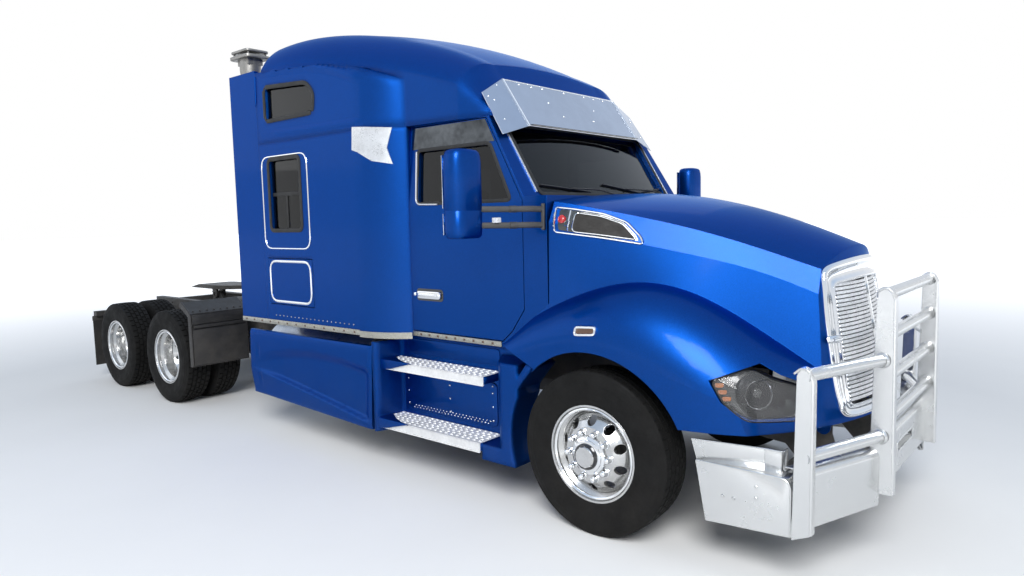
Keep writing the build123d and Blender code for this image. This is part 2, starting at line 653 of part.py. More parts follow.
def roof_section(row, inset, bottom):
    """One roof section: straight sides up to the arch line, a round shoulder, and a crowned top."""
    x, half, arch, crown = row
    w, a, c = half - inset, arch - inset * 0.3, crown - inset
    shoulder = (w * 0.88, a + (c - a) * 0.52)
    edges = [
        Line((-w, bottom), (w, bottom)), Line((w, bottom), (w, a)),
        ThreePointArc((w, a), shoulder, (w * 0.62, a + (c - a) * 0.83)),
        ThreePointArc((w * 0.62, a + (c - a) * 0.83), (0, c), (-w * 0.62, a + (c - a) * 0.83)),
        ThreePointArc((-w * 0.62, a + (c - a) * 0.83), (-shoulder[0], shoulder[1]), (-w, a)),
        Line((-w, a), (-w, bottom)),
    ]
    return Plane(origin=(x, 0, 0), x_dir=(0, 1, 0), z_dir=(1, 0, 0)) * make_face(edges)


def roof_body(inset, bottom):
    """The crowned roof, and the sleeper's upper sides that stand outside its arch."""
    sections = [roof_section(row, inset, bottom) for row in ROOF_ROWS]
    crown = loft(sections[:-1]) + loft(sections[-2:], ruled=True)
    side_top = [(x, z - inset * 0.6) for x, z in ROOF_SIDE_TOP]
    side_top += [(side_top[-1][0], bottom), (side_top[0][0], bottom)]
    sides = plan_prism(sleeper_plan(inset), bottom, 3400) & side_prism(side_top, -1300, 1300)
    body = crown + sides
    if inset:
        body -= block(SLEEPER_REAR_X - 10, SLEEPER_REAR_X + inset, -1300, 1300, 0, 4000)
        body -= block(ROOF_ROWS[-1][0] - inset, 0, -1300, 1300, 0, 4000)
    return body


def roof_cap():
    cap = roof_body(0, SEAM_Z) - roof_body(WALL, SEAM_Z - 40)
    front = block(ROOF_ROWS[-1][0] - 100, 0, -SLEEPER_HALF, SLEEPER_HALF, SEAM_Z - 1, VISOR_TOP_Z)
    cap -= front - visor_space(VISOR_T + FIT, SLEEPER_HALF)
    return cap - both(side_cut(UPPER_WINDOW, 0, -SLEEPER_HALF - 50, -SLEEPER_HALF + WALL + 50))


def side_extenders():
    outer, inner = -SLEEPER_HALF, -SLEEPER_HALF + EXTENDER_T
    return both(block(EXTENDER_REAR_X, SLEEPER_REAR_X - FIT, outer, inner, EXTENDER_BOTTOM_Z, EXTENDER_TOP_Z))


def root_glass():
    """The windscreen and the four sleeper windows."""
    back = WALL / 2
    screen = cab_front(BELT_Z, SEAM_Z, back) - cab_front(BELT_Z - 5, SEAM_Z + 5, back + SCREEN_T)
    screen &= front_prism(SCREEN_OUTLINE, -1600, 0)
    panes = Part()
    for outline in (LOWER_WINDOW, UPPER_WINDOW):
        panes += side_cut(outline, 0, -SLEEPER_HALF + 30, -SLEEPER_HALF + 30 + GLASS_T)
    return screen + both(panes)


def dashboard():
    """Dashboard across the cab with its support, and the steering column and wheel on the left."""
    half, front = CAB_HALF - WALL - 20, CAB_FRONT_X - WALL - 10
    outline = (
        (front, 1400), (front, 1960), (front - 80, 1990), (-760, 1960),
        (-930, 1860), (-900, 1640), (-760, 1400),
    )
    body = side_prism(outline, -half, half) + block(-620, front, -half, half, FLOOR_Z + WALL, 1401)
    hub_at = (STEER_WHEEL_X, STEER_WHEEL_Y, STEER_WHEEL_Z)
    body += rod((-850, STEER_WHEEL_Y, 1700), hub_at, 35)
    plane = Plane(origin=hub_at, z_dir=(-180, 0, 110))
    body += plane * Torus(STEER_WHEEL_R, 16)
    return body + plane * (Box(2 * STEER_WHEEL_R - 10, 36, 14) + Cylinder(60, 40))


def seats_and_bunk():
    """Two seats on their pedestals and the bunk across the sleeper's rear."""
    floor = FLOOR_Z + WALL
    x0, x1 = SEAT_X
    y0, y1 = SEAT_Y
    low, top = SEAT_Z
    back = ((x0, low + 40), (x0 + 140, low + 40), (x0 + 60, SEAT_BACK_Z), (x0 - 80, SEAT_BACK_Z))
    seat = block(x0, x1, y0, y1, low, top) + side_prism(back, y0 + 10, y1 - 10)
    seat += block(x0 + 100, x1 - 70, y0 + 70, y1 - 70, floor, low + 5)
    x0, x1 = BUNK_X
    half = SLEEPER_HALF - WALL
    bunk = block(x0, x1, -half, half, floor, BUNK_Z)
    bunk += block(x0 + 20, x1 - 20, -half + 15, half - 15, BUNK_Z, BUNK_Z + MATTRESS_T)
    return both(seat) + bunk


def visor_space(back, half=VISOR_WING_Y):
    """The space behind the visor's flat front and swept wings, out to half, set back by back."""
    front, rear = VISOR_X - back, CAB_REAR_X
    wing = front - VISOR_SWEEP * (half - VISOR_HALF) / (VISOR_WING_Y - VISOR_HALF)
    corners = (
        (front, -VISOR_HALF), (front, VISOR_HALF), (wing, half), (rear, half), (rear, -half), (wing, -half),
    )
    edges = [Line(corners[i - 1], corners[i]) for i in range(len(corners))]
    return plan_prism(edges, VISOR_TIP_Z, VISOR_TOP_Z, lean=VISOR_SLOPE)


def sun_visor():
    """Flat shade across the top of the windscreen, with a wing swept back to the roof at each end."""
    outline = (
        (-VISOR_WING_Y, VISOR_TIP_Z), (-VISOR_HALF, VISOR_BOTTOM_Z), (VISOR_HALF, VISOR_BOTTOM_Z),
        (VISOR_WING_Y, VISOR_TIP_Z), (VISOR_WING_Y - 20, VISOR_SHOULDER_Z), (VISOR_HALF, VISOR_TOP_Z),
        (-VISOR_HALF, VISOR_TOP_Z), (-VISOR_WING_Y + 20, VISOR_SHOULDER_Z),
    )
    return (visor_space(0) - visor_space(VISOR_T)) & front_prism(outline, -1700, 0)


def mirrors():
    """A tall mirror each side on two bent arms from a bracket on the cowl."""
    half_y, half_x = MIRROR_HALF
    low, high = MIRROR_Z
    plan = Pos(MIRROR_X, -MIRROR_Y, low) * RectangleRounded(2 * half_x, 2 * half_y, half_x * 0.85)
    head = extrude(plan, amount=high - low)
    head = fillet(head.edges().filter_by_position(Axis.Z, high - 1, high + 1), 40)
    head_at = (MIRROR_X + half_x / 3, -MIRROR_Y + half_y * 0.6)
    for z in MIRROR_ARM_Z:
        bend = (MIRROR_BEND[0], MIRROR_BEND[1], z)
        head += rod((MIRROR_FOOT_X, -CAB_HALF - 12, z), bend, MIRROR_ARM_R)
        head += rod(bend, (head_at[0], head_at[1], z), MIRROR_ARM_R)
        head += Pos(*bend) * Sphere(MIRROR_ARM_R)
    bracket = block(MIRROR_FOOT_X - 16, MIRROR_FOOT_X + 17, -CAB_HALF - 34, -CAB_HALF, 1850, 2020)
    return both(head + bracket)


def exhaust_stack():
    """The upright stack behind the sleeper's right corner, with its cap and its foot on the rail."""
    x, y, low, half = STACK_X, STACK_Y, STACK_BOTTOM_Z, 25.0
    cap_z = STACK_TOP_Z - 60
    stack = rod((x, y, low), (x, y, cap_z), STACK_R) + rod((x, y, 3160), (x, y, cap_z), STACK_R + 13)
    stack += Pos(x, y, STACK_TOP_Z - 30) * Box(190, 150, 60)
    stack += block(x - half, x + half, y, -RAIL_OUT + RAIL_FLANGE, low - 20, low + 15)
    return stack + block(x - half, x + half, -RAIL_OUT, -RAIL_OUT + RAIL_FLANGE, RAIL_TOP, low - 19)


# Bonnet
def hood_section(row, inset, bottom):
    """One bonnet section: round fender, valley, upright side, and a crowned top between the creases."""
    pairs = [(row[i] - inset, row[i + 1] - inset * 0.7) for i in range(1, 11, 2)]
    side, crest, valley, lower, upper = pairs
    far_side, far_crest, far_valley, far_lower, far_upper = [(-y, z) for y, z in pairs]
    foot, far_foot = (side[0], bottom), (-side[0], bottom)
    edges = [
        Line(far_foot, foot), Line(foot, side), ThreePointArc(side, crest, valley), Line(valley, lower),
        Line(lower, upper), ThreePointArc(upper, (0, row[11] - inset), far_upper), Line(far_upper, far_lower),
        Line(far_lower, far_valley), ThreePointArc(far_valley, far_crest, far_side), Line(far_side, far_foot),
    ]
    return Plane(origin=(row[0], 0, 0), x_dir=(0, 1, 0), z_dir=(1, 0, 0)) * make_face(edges)


def nose_space(inset, bottom=600.0, top=2300.0):
    """The space behind the bonnet's curved, leaning nose."""
    front = NOSE_X - inset + (NOSE_REF_Z - bottom) * NOSE_SLOPE
    half = 1300.0
    side = front - (NOSE_R - math.sqrt(NOSE_R ** 2 - half ** 2))
    edges = [
        ThreePointArc((side, -half), (front, 0), (side, half)), Line((side, half), (-3000, half)),
        Line((-3000, half), (-3000, -half)), Line((-3000, -half), (side, -half)),
    ]
    return plan_prism(edges, bottom, top, lean=NOSE_SLOPE)


def hood_form(inset, bottom):
    return loft([hood_section(row, inset, bottom) for row in HOOD_ROWS]) & nose_space(inset)


def hood_lug():
    """The right hinge lug with its pin, and the web that joins it to the nose beside the grille."""
    y0, y1 = -RAIL_OUT - 50, -RAIL_OUT - 24
    lug = block(HINGE_X - HINGE_LUG_R, HINGE_X + HINGE_LUG_R, y0, y1, HINGE_Z, HOOD_BOTTOM_Z + 138)
    lug += disc_y(HINGE_X, HINGE_Z, HINGE_LUG_R, y0, y1)
    lug += disc_y(HINGE_X, HINGE_Z, HINGE_PIN_R, y0, -RAIL_OUT - 2)
    web_z = (HOOD_BOTTOM_Z + 38, HOOD_BOTTOM_Z + 138)
    web = block(HINGE_X - HINGE_LUG_R, NOSE_X + 200, y0 - 20, -GRILLE_HALF - 1, web_z[0], web_z[1])
    return lug + (web & nose_space(5))


def hood_shell():
    """The bonnet with its fenders, open below, at the rear, and for the grille, lamps and arches."""
    shell = hood_form(0, HOOD_BOTTOM_Z) - hood_form(HOOD_T, HOOD_BOTTOM_Z - 60)
    above_tail = ((-1000, 2400), (HOOD_REAR_X, 2400), (HOOD_REAR_X, 1385), (-690, 1112), (-1000, 1112))
    below_tail = ((-1000, 1112), (-690, 1105), (-412, 985), (-600, 650), (-1000, 650))
    shell -= side_prism(above_tail, -1300, 1300) + side_prism(below_tail, -1300, 1300)
    shell -= block(-1000, HOOD_REAR_X, -CAB_HALF - HOOD_SIDE_CLEAR, CAB_HALF + HOOD_SIDE_CLEAR, 600, 2400)
    shell -= both(disc_y(ARCH_X, TYRE_R, ARCH_R, -1300, -ARCH_INNER_Y))
    shell -= both(side_cut(HEADLAMP_OUTLINE, 0, -1300, -HEADLAMP_INNER_Y))
    shell -= front_prism(grille_outline(0), 900, 1500)
    return shell + both(hood_lug())


def nose_slab(front, back):
    """A layer of the nose from front to back, each measured forward of the bonnet's surface."""
    return nose_space(-front) - nose_space(-back)


def grille_outline(inset):
    """The grille's (y, z) outline, narrower at the top."""
    half, top, bottom = GRILLE_HALF - inset, GRILLE_TOP_Z - inset, GRILLE_BOTTOM_Z + inset
    return ((-half, bottom), (half, bottom), (half - GRILLE_TAPER, top), (-half + GRILLE_TAPER, top))


def grille_surround():
    ring = nose_slab(25, -HOOD_T) & front_prism(grille_outline(0), 900, 1500)
    return ring - front_prism(grille_outline(GRILLE_FRAME), 800, 1600)


def grille_bars():
    """Level bars between a centre post and the surround, backed by a thin screen."""
    inside = front_prism(grille_outline(GRILLE_FRAME), 800, 1600)
    low, high = GRILLE_BOTTOM_Z + GRILLE_FRAME, GRILLE_TOP_Z - GRILLE_FRAME
    pitch = (high - low) / GRILLE_BARS
    bars = block(900, 1500, -22, 22, low, high)
    for i in range(GRILLE_BARS):
        z = low + (i + 0.5) * pitch
        bars += block(900, 1500, -GRILLE_HALF, GRILLE_HALF, z - pitch * 0.3, z + pitch * 0.3)
    return (nose_slab(0, -12) & inside & bars) + (nose_slab(-12, -20) & inside)


def headlamps():
    """The wrapped lamp in each fender's corner, filling the bonnet's opening."""
    lamp = hood_form(0, HOOD_BOTTOM_Z) - hood_form(HEADLAMP_T, HOOD_BOTTOM_Z - 60)
    return both(lamp & side_cut(HEADLAMP_OUTLINE, 0, -1300, -HEADLAMP_INNER_Y))


# Bumper and guard
def bumper_wraps():
    """The fixed bumper end on each side, with its flared ledge and its bracket to the frame."""
    rear, front = WRAP_X
    outer, inner = -WRAP_Y, -WRAP_Y + FACE_T
    outline = (
        (rear + 60, WRAP_BOTTOM_Z), (front, WRAP_BOTTOM_Z + 25), (front, WRAP_TOP_Z), (rear, WRAP_TOP_Z),
    )
    ledge = (
        (outer, WRAP_TOP_Z), (inner, WRAP_TOP_Z), (inner - LEDGE_FLARE, LEDGE_TOP_Z),
        (outer - LEDGE_FLARE, LEDGE_TOP_Z),
    )
    end = side_prism(outline, outer, inner) + front_prism(ledge, rear - 10, rear + 330)
    end += block(1000, 1060, inner, -RAIL_OUT - BRACKET_T, 460, 540)
    return both(end)


def guard_uprights():
    """The guard's four upright plates."""
    x0, x1 = GUARD_INNER_X
    o0, o1 = GUARD_OUTER_X
    inner = (
        (x0 + 20, 1350), (x0 + 20, 1440), (x0 + 30, 1500), (x0 + 60, 1518), (x1 - 30, 1505), (x1 - 12, 1470),
        (x1, 415), (x0, 415),
    )
    outer = ((o0, 290), (o1, 330), (o1, 1110), (o1 - 20, 1155), (o1 - 50, 1165), (o0 + 15, 1130))
    half_t = GUARD_PLATE_T / 2
    plates = side_prism(inner, -GUARD_INNER_Y - half_t, -GUARD_INNER_Y + half_t)
    return both(plates + side_prism(outer, -GUARD_OUTER_Y - half_t, -GUARD_OUTER_Y + half_t))


def guard_tubes():
    """The tubes between the uprights, each ending flat on a plate at both ends."""
    side, centre = Part(), Part()
    half_t = GUARD_PLATE_T / 2
    over = GUARD_TUBE_R / (GUARD_OUTER_Y - GUARD_INNER_Y)
    run = (GUARD_MIDDLE_X - GUARD_SIDE_X) * over
    for z in SIDE_TUBE_Z:
        outer = (GUARD_SIDE_X - run, -GUARD_OUTER_Y - GUARD_TUBE_R, z - SIDE_TUBE_RISE * over)
        inner = (GUARD_MIDDLE_X + run, -GUARD_INNER_Y + GUARD_TUBE_R, z + SIDE_TUBE_RISE * (1 + over))
        side += rod(outer, inner, GUARD_TUBE_R)
    side &= block(0, FRONT_END_X, -GUARD_OUTER_Y + half_t, -GUARD_INNER_Y - half_t, 0, 2000)
    half = GUARD_INNER_Y - half_t
    for z in CENTRE_TUBE_Z:
        centre += rod((GUARD_MIDDLE_X, -half, z), (GUARD_MIDDLE_X, half, z), GUARD_TUBE_R)
    return both(side) + centre


def guard_face():
    """The bumper's face: a slotted plate in the middle, and one slanting back to each outer upright."""
    front, back = GUARD_MIDDLE_X, GUARD_MIDDLE_X - FACE_T
    corners = (
        (GUARD_FACE_X, -GUARD_OUTER_Y), (front, -GUARD_INNER_Y), (back, -GUARD_INNER_Y),
        (GUARD_FACE_X - FACE_T, -GUARD_OUTER_Y),
    )
    side = plan_prism([Line(corners[i - 1], corners[i]) for i in range(4)], FACE_BOTTOM_Z, FACE_TOP_Z)
    low, high = CENTRE_FACE_Z
    face = both(side) + block(back, front, -GUARD_INNER_Y, GUARD_INNER_Y, low, high)
    low, high = SLOT_Z
    return face - guard_uprights() - block(back - 1, front + 1, -SLOT_HALF, SLOT_HALF, low, high)


def guard_arms():
    """The arm from the middle plate back to each hinge pin."""
    heel, low, high = GUARD_HINGE_X - 35, GUARD_HINGE_Z - 35, GUARD_HINGE_Z + 35
    front = GUARD_MIDDLE_X - FACE_T
    outline = ((heel, low), (GUARD_HINGE_X + 30, low), (front, 420), (front, 500), (heel, high))
    arm = side_prism(outline, -RAIL_OUT - 75, -RAIL_OUT - 55)
    return both(arm - disc_y(GUARD_HINGE_X, GUARD_HINGE_Z, GUARD_PIN_R + FIT, -RAIL_OUT - 90, -RAIL_OUT - 40))


# Lower bodywork
def side_fairings():
    """Fairing over each fuel tank, from the sleeper's rear to the steps."""
    panel = side_prism(FAIRING_OUTLINE, -FAIRING_Y, -FAIRING_Y + FAIRING_T)
    x0, x1 = FAIRING_STAY_X
    return both(panel + block(x0, x1, -FAIRING_Y + FAIRING_T, -TANK_Y - TANK_R, TANK_Z - 30, TANK_Z + 30))


def steps():
    """Step housing below the door, with a curved wall at each end, two treads and an arm to the rail."""
    inner, back = -STEP_BACK_Y + 20, -STEP_BACK_Y
    housing = side_prism(STEP_BACK_OUTLINE, back, inner)
    housing += side_prism(STEP_FRONT_OUTLINE, -STEP_FRONT_Y, inner)
    for plan, (low, high) in ((STEP_CHEEK_PLAN, STEP_CHEEK_Z), (STEP_POST_PLAN, STEP_POST_Z)):
        face = make_face(Polyline(*plan, close=True))
        housing += extrude(Pos(0, 0, low) * face, amount=high - low)
    housing += block(TREAD_X[1], STEP_POST_PLAN[-1][0], -STEP_FRONT_Y, back, STEP_SILL_Z[0], STEP_SILL_Z[1])
    for z, out in TREADS:
        housing += block(TREAD_X[0], TREAD_X[1], -out, inner, z - TREAD_T, z)
    x0, x1 = STEP_ARM_X
    low, high = STEP_ARM_Z
    housing += block(x0, x1, inner, -RAIL_OUT, low, high)
    return both(housing - disc_y(ARCH_X, TYRE_R, ARCH_R, -1300, -800))


def quarter_fenders():
    """The guard across the front of the first driven wheel, on an arm from the rail."""
    plate = side_prism(QUARTER_OUTLINE, -QUARTER_Y[1], -QUARTER_Y[0])
    x = QUARTER_OUTLINE[0][0]
    return both(plate + block(x - 60, x - 10, -QUARTER_Y[0] - 60, -RAIL_OUT, 880, 940))


def lamp_bar():
    return block(REAR_END_X, FRAME_REAR_X, -LAMP_BAR_HALF, LAMP_BAR_HALF, LAMP_BAR_Z[0], LAMP_BAR_Z[1])


def mudflaps():
    x = REAR_END_X + 6
    return both(block(x, x + 12, -FLAP_Y[1], -FLAP_Y[0], FLAP_BOTTOM_Z, LAMP_BAR_Z[0] - FIT))


def deck():
    return block(DECK_X[0], DECK_X[1], -DECK_HALF, DECK_HALF, RAIL_TOP, RAIL_TOP + 12)


def fifth_wheel_base():
    """The bed across the rails with a foot and a cross pin on each side."""
    bed_top, pivot_z = RAIL_TOP + 14, FIFTH_TOP_Z - FIFTH_PIVOT_DROP
    base = block(FIFTH_X - 420, FIFTH_X + 420, -RAIL_OUT - 60, RAIL_OUT + 60, RAIL_TOP, bed_top)
    foot = (
        (FIFTH_X - 170, bed_top), (FIFTH_X + 170, bed_top), (FIFTH_X + 50, pivot_z + 30),
        (FIFTH_X - 50, pivot_z + 30),
    )
    foot_y = -FIFTH_FOOT_Y
    legs = side_prism(foot, foot_y - 18, foot_y + 18)
    legs += disc_y(FIFTH_X, pivot_z, FIFTH_PIVOT_R, foot_y - 45, foot_y + 45)
    return base + both(legs)


def fifth_wheel_plate():
    """The rocking plate with its throat, the jaws round the pin bore, and an ear each side of each foot."""
    top, low, pivot_z = FIFTH_TOP_Z, FIFTH_TOP_Z - FIFTH_T, FIFTH_TOP_Z - FIFTH_PIVOT_DROP
    rear = FIFTH_X - FIFTH_REAR
    plate = Pos(FIFTH_X, 0, top - FIFTH_T / 2) * Cylinder(FIFTH_R, FIFTH_T)
    plate += block(rear, FIFTH_X, -FIFTH_R, FIFTH_R, low, top)
    plate -= side_prism(((rear - 10, top + 1), (rear + 190, top + 1), (rear - 10, top - 40)), -500, 500)
    throat = make_face(Polyline(
        (rear - 80, -230), (FIFTH_X - 250, -THROAT_HALF), (FIFTH_X, -THROAT_HALF), (FIFTH_X, THROAT_HALF),
        (FIFTH_X - 250, THROAT_HALF), (rear - 80, 230), close=True,
    ))
    plate -= extrude(Pos(0, 0, top - 60) * throat, amount=80)
    plate += block(FIFTH_X - 120, FIFTH_X + 60, -THROAT_HALF - 20, THROAT_HALF + 20, low + 1, top - 6)
    plate -= Pos(FIFTH_X, 0, top) * Cylinder(KINGPIN_BORE_R, 200)
    ears = Part()
    for y0, y1 in ((FIFTH_FOOT_Y - 60, FIFTH_FOOT_Y - 26), (FIFTH_FOOT_Y + 26, FIFTH_FOOT_Y + 56)):
        ears += disc_y(FIFTH_X, pivot_z, 48, -y1, -y0)
        ears += block(FIFTH_X - 48, FIFTH_X + 48, -y1, -y0, pivot_z, low + 2)
    ears -= disc_y(FIFTH_X, pivot_z, FIFTH_PIVOT_R + FIT, -500, -300)
    return plate + both(ears)


for wheel_side, wheel_name in ((-1, "right"), (1, "left")):
    front_wheel(wheel_side, wheel_name)
    rear_wheels(wheel_side, wheel_name)
    nodes["knuckle_" + wheel_name] = knuckle(wheel_side)
    nodes["door_" + wheel_name] = door(wheel_side)
    nodes["door_glass_" + wheel_name] = door_glass(wheel_side)
    nodes["luggage_door_" + wheel_name] = luggage_door(wheel_side)

nodes["tie_rod"] = tie_rod()
nodes["axles"] = axles()
nodes["frame"] = frame()
nodes["suspension"] = suspension()
nodes["engine_block"] = engine()
nodes["radiator"] = radiator()
nodes["fuel_tanks"] = fuel_tanks()
nodes["side_fairings"] = side_fairings()
nodes["steps"] = steps()
nodes["quarter_fenders"] = quarter_fenders()
nodes["lamp_bar"] = lamp_bar()
nodes["mudflaps"] = mudflaps()
nodes["deck"] = deck()
nodes["fifth_wheel_base"] = fifth_wheel_base()
nodes["fifth_wheel_plate"] = fifth_wheel_plate()
nodes["cab_shell"] = cab_shell()
nodes["sleeper_shell"] = sleeper_shell()
nodes["roof_cap"] = roof_cap()
nodes["side_extenders"] = side_extenders()
nodes["cab_glass"] = root_glass()
nodes["dashboard"] = dashboard()
nodes["seats_and_bunk"] = seats_and_bunk()
nodes["sun_visor"] = sun_visor()
nodes["mirrors"] = mirrors()
nodes["exhaust_stack"] = exhaust_stack()
nodes["hood"] = hood_shell()
nodes["grille_surround"] = grille_surround()
nodes["grille_bars"] = grille_bars()
nodes["headlamps"] = headlamps()
nodes["bumper_ends"] = bumper_wraps()
nodes["guard_uprights"] = guard_uprights()
nodes["guard_tubes"] = guard_tubes()
nodes["guard_face"] = guard_face()
nodes["guard_arms"] = guard_arms()

os.makedirs("parts", exist_ok=True)
for node_name, shape in nodes.items():
    export_step(Pos(-MIDDLE_X, 0, 0) * shape, "parts/%s.step" % node_name)
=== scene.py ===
from math import cos, exp, pi, radians, sin, sqrt

import bmesh
import bpy
from bpy.props import FloatProperty, FloatVectorProperty, IntProperty, PointerProperty
from mathutils import Matrix, Vector
from mathutils.bvhtree import BVHTree


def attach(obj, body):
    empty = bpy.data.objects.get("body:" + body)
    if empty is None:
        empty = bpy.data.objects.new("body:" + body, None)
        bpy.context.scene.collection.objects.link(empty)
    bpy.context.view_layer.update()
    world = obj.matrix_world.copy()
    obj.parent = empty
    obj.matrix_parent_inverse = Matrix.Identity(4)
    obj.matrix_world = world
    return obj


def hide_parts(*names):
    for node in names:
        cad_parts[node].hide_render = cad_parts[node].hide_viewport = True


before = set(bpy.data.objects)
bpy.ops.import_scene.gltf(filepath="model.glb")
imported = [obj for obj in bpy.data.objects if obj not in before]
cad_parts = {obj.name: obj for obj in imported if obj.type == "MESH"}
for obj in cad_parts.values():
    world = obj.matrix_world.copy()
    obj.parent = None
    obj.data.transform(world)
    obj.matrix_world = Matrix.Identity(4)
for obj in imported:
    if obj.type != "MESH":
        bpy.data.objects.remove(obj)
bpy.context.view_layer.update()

bl_info = {
    "name": "Sleeper tractor looks",
    "version": (1, 0, 0),
    "blender": (4, 5, 0),
    "location": "3D View > Sidebar > Tractor",
    "description": "Builds the finishes and the detail pieces round the packed road tractor",
    "category": "Object",
}

# The sketch coordinates below have X = 0 at the front axle; the frame's middle is this far behind it.
AXLE_X = 3.075
SIDES = ((-1, "right"), (1, "left"))
HUB_Z = 0.507
DRIVE_X = (-5.545, -6.865)
AHEAD, BACK, RIGHT, UP = (1, 0, 0), (-1, 0, 0), (0, -1, 0), (0, 0, 1)
# The lines that meet the side walls and the nose start this far out.
OUTSIDE_Y, OUTSIDE_X = -3.0, 1.0


# ---------------------------------------------------------------- sizes and colours


class TractorSizes(bpy.types.PropertyGroup):
    nut_ring: FloatProperty(
        name="Wheel nut ring", description="Radius of the ring of wheel nuts", default=0.1429, unit="LENGTH")
    nut_count: IntProperty(name="Wheel nuts", description="Nuts on each wheel", default=10)
    tread_depth: FloatProperty(
        name="Tread depth", description="Depth of the grooves in the tyres", default=0.014, unit="LENGTH")
    tread_blocks: IntProperty(name="Tread blocks", description="Blocks round a driven tyre", default=46)
    rivet_radius: FloatProperty(
        name="Rivet radius", description="Radius of the round heads on the sun visor", default=0.009, unit="LENGTH")
    trim_width: FloatProperty(
        name="Window trim", description="Width of the bright trim round the sleeper window", default=0.022,
        unit="LENGTH")
    weld_radius: FloatProperty(
        name="Weld bead", description="Radius of the weld beads on the front guard", default=0.006, unit="LENGTH")


class TractorColours(bpy.types.PropertyGroup):
    paint: FloatVectorProperty(
        name="Body paint", description="Colour of the metallic body paint", default=(0.0012, 0.048, 0.25),
        subtype="COLOR", min=0.0, max=1.0)
    chassis: FloatVectorProperty(
        name="Chassis paint", description="Colour of the frame and axles", default=(0.020, 0.021, 0.023),
        subtype="COLOR", min=0.0, max=1.0)
    seat: FloatVectorProperty(
        name="Seat cloth", description="Colour of the seats and the bunk", default=(0.055, 0.058, 0.064),
        subtype="COLOR", min=0.0, max=1.0)
    floor: FloatVectorProperty(
        name="Studio floor", description="Colour of the floor", default=(0.84, 0.84, 0.83),
        subtype="COLOR", min=0.0, max=1.0)


def sizes():
    return bpy.context.scene.tractor_sizes


def colours():
    return bpy.context.scene.tractor_colours


# ---------------------------------------------------------------- places and meshes


def at(x, y, z):
    """A sketch point, measured from the front axle, in the frame's coordinates."""
    return Vector((x + AXLE_X, y, z))


def piece(name, bm, finish, body="root", slot=None, replaces=(), angle=38.0):
    """Turns a bmesh into a named piece that rides on a body."""
    bmesh.ops.recalc_face_normals(bm, faces=bm.faces)
    mesh = bpy.data.meshes.new(name)
    bm.to_mesh(mesh)
    bm.free()
    mesh.polygons.foreach_set("use_smooth", [True] * len(mesh.polygons))
    mesh.set_sharp_from_angle(angle=radians(angle))
    mesh.materials.append(FINISH[finish])
    obj = bpy.data.objects.new(name, mesh)
    bpy.context.scene.collection.objects.link(obj)
    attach(obj, body)
    if replaces:
        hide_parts(*replaces)
    return obj


def pair(name, make, finish, body="root", **rest):
    """A piece of a right-hand shape and its mirror image."""
    return piece(name, both_sides(make), finish, body, **rest)


def add(bm, other):
    """Puts a second bmesh into the first."""
    mesh = bpy.data.meshes.new("joined")
    other.to_mesh(mesh)
    other.free()
    bm.from_mesh(mesh)
    bpy.data.meshes.remove(mesh)


def join(*parts):
    """One bmesh of all the parts."""
    bm = bmesh.new()
    for part in parts:
        add(bm, part)
    return bm


def mirrored(bm):
    """Mirrors a right-hand bmesh to the left side."""
    bmesh.ops.scale(bm, vec=(1, -1, 1), verts=bm.verts)
    bmesh.ops.reverse_faces(bm, faces=bm.faces)
    return bm


def both_sides(make):
    """One bmesh that holds a right-hand shape and its mirror image."""
    return join(make(), mirrored(make()))


def on_side(bm, side):
    """Leaves a right-hand bmesh as it is, or mirrors it for the left side."""
    return mirrored(bm) if side > 0 else bm


def turns(count, start=0.0):
    """Even angles, once round."""
    return [2 * pi * i / count + start for i in range(count)]


def quarter(parts):
    """Even angles from 0 to a right angle."""
    return [pi / 2 * i / parts for i in range(parts + 1)]


def even(start, length, parts):
    """Even values from start to start + length."""
    return [start + length * i / parts for i in range(parts + 1)]


def ease(t):
    """Rises smoothly from 0 to 1 as t does."""
    t = min(1.0, max(0.0, t))
    return t * t * (3 - 2 * t)


def height_at(line, x):
    """The height at x of a line of (x, height) points."""
    return next(a[1] + (b[1] - a[1]) * (x - a[0]) / (b[0] - a[0]) for a, b in zip(line, line[1:]) if x <= b[0] + 1e-6)


def skin(bm, rings, closed_ring=True, closed_row=False):
    """Faces between neighbouring rings of vertices."""
    count = len(rings)
    for i in range(count if closed_row else count - 1):
        a, b = rings[i], rings[(i + 1) % count]
        width = len(a)
        for j in range(width if closed_ring else width - 1):
            k = (j + 1) % width
            bm.faces.new((a[j], a[k], b[k], b[j]))


def lathe(profile, centre, axis=(0, 1, 0), steps=48, turn=0.0):
    """A bmesh turned about an axis through centre; the profile holds (distance along, radius)."""
    bm = bmesh.new()
    axis = Vector(axis).normalized()
    side = axis.orthogonal().normalized()
    up = axis.cross(side)
    rings = []
    for angle in turns(steps, turn):
        out = side * cos(angle) + up * sin(angle)
        rings.append([bm.verts.new(Vector(centre) + axis * along + out * radius) for along, radius in profile])
    skin(bm, rings, closed_row=True)
    bmesh.ops.remove_doubles(bm, verts=bm.verts, dist=1e-6)
    return bm


def loft(*rings):
    """A bmesh through rings of as many points, closed at both ends."""
    bm = bmesh.new()
    rings = [[bm.verts.new(p) for p in ring] for ring in rings]
    skin(bm, rings)
    for end in (rings[0], rings[-1]):
        bm.faces.new(end)
    return bm


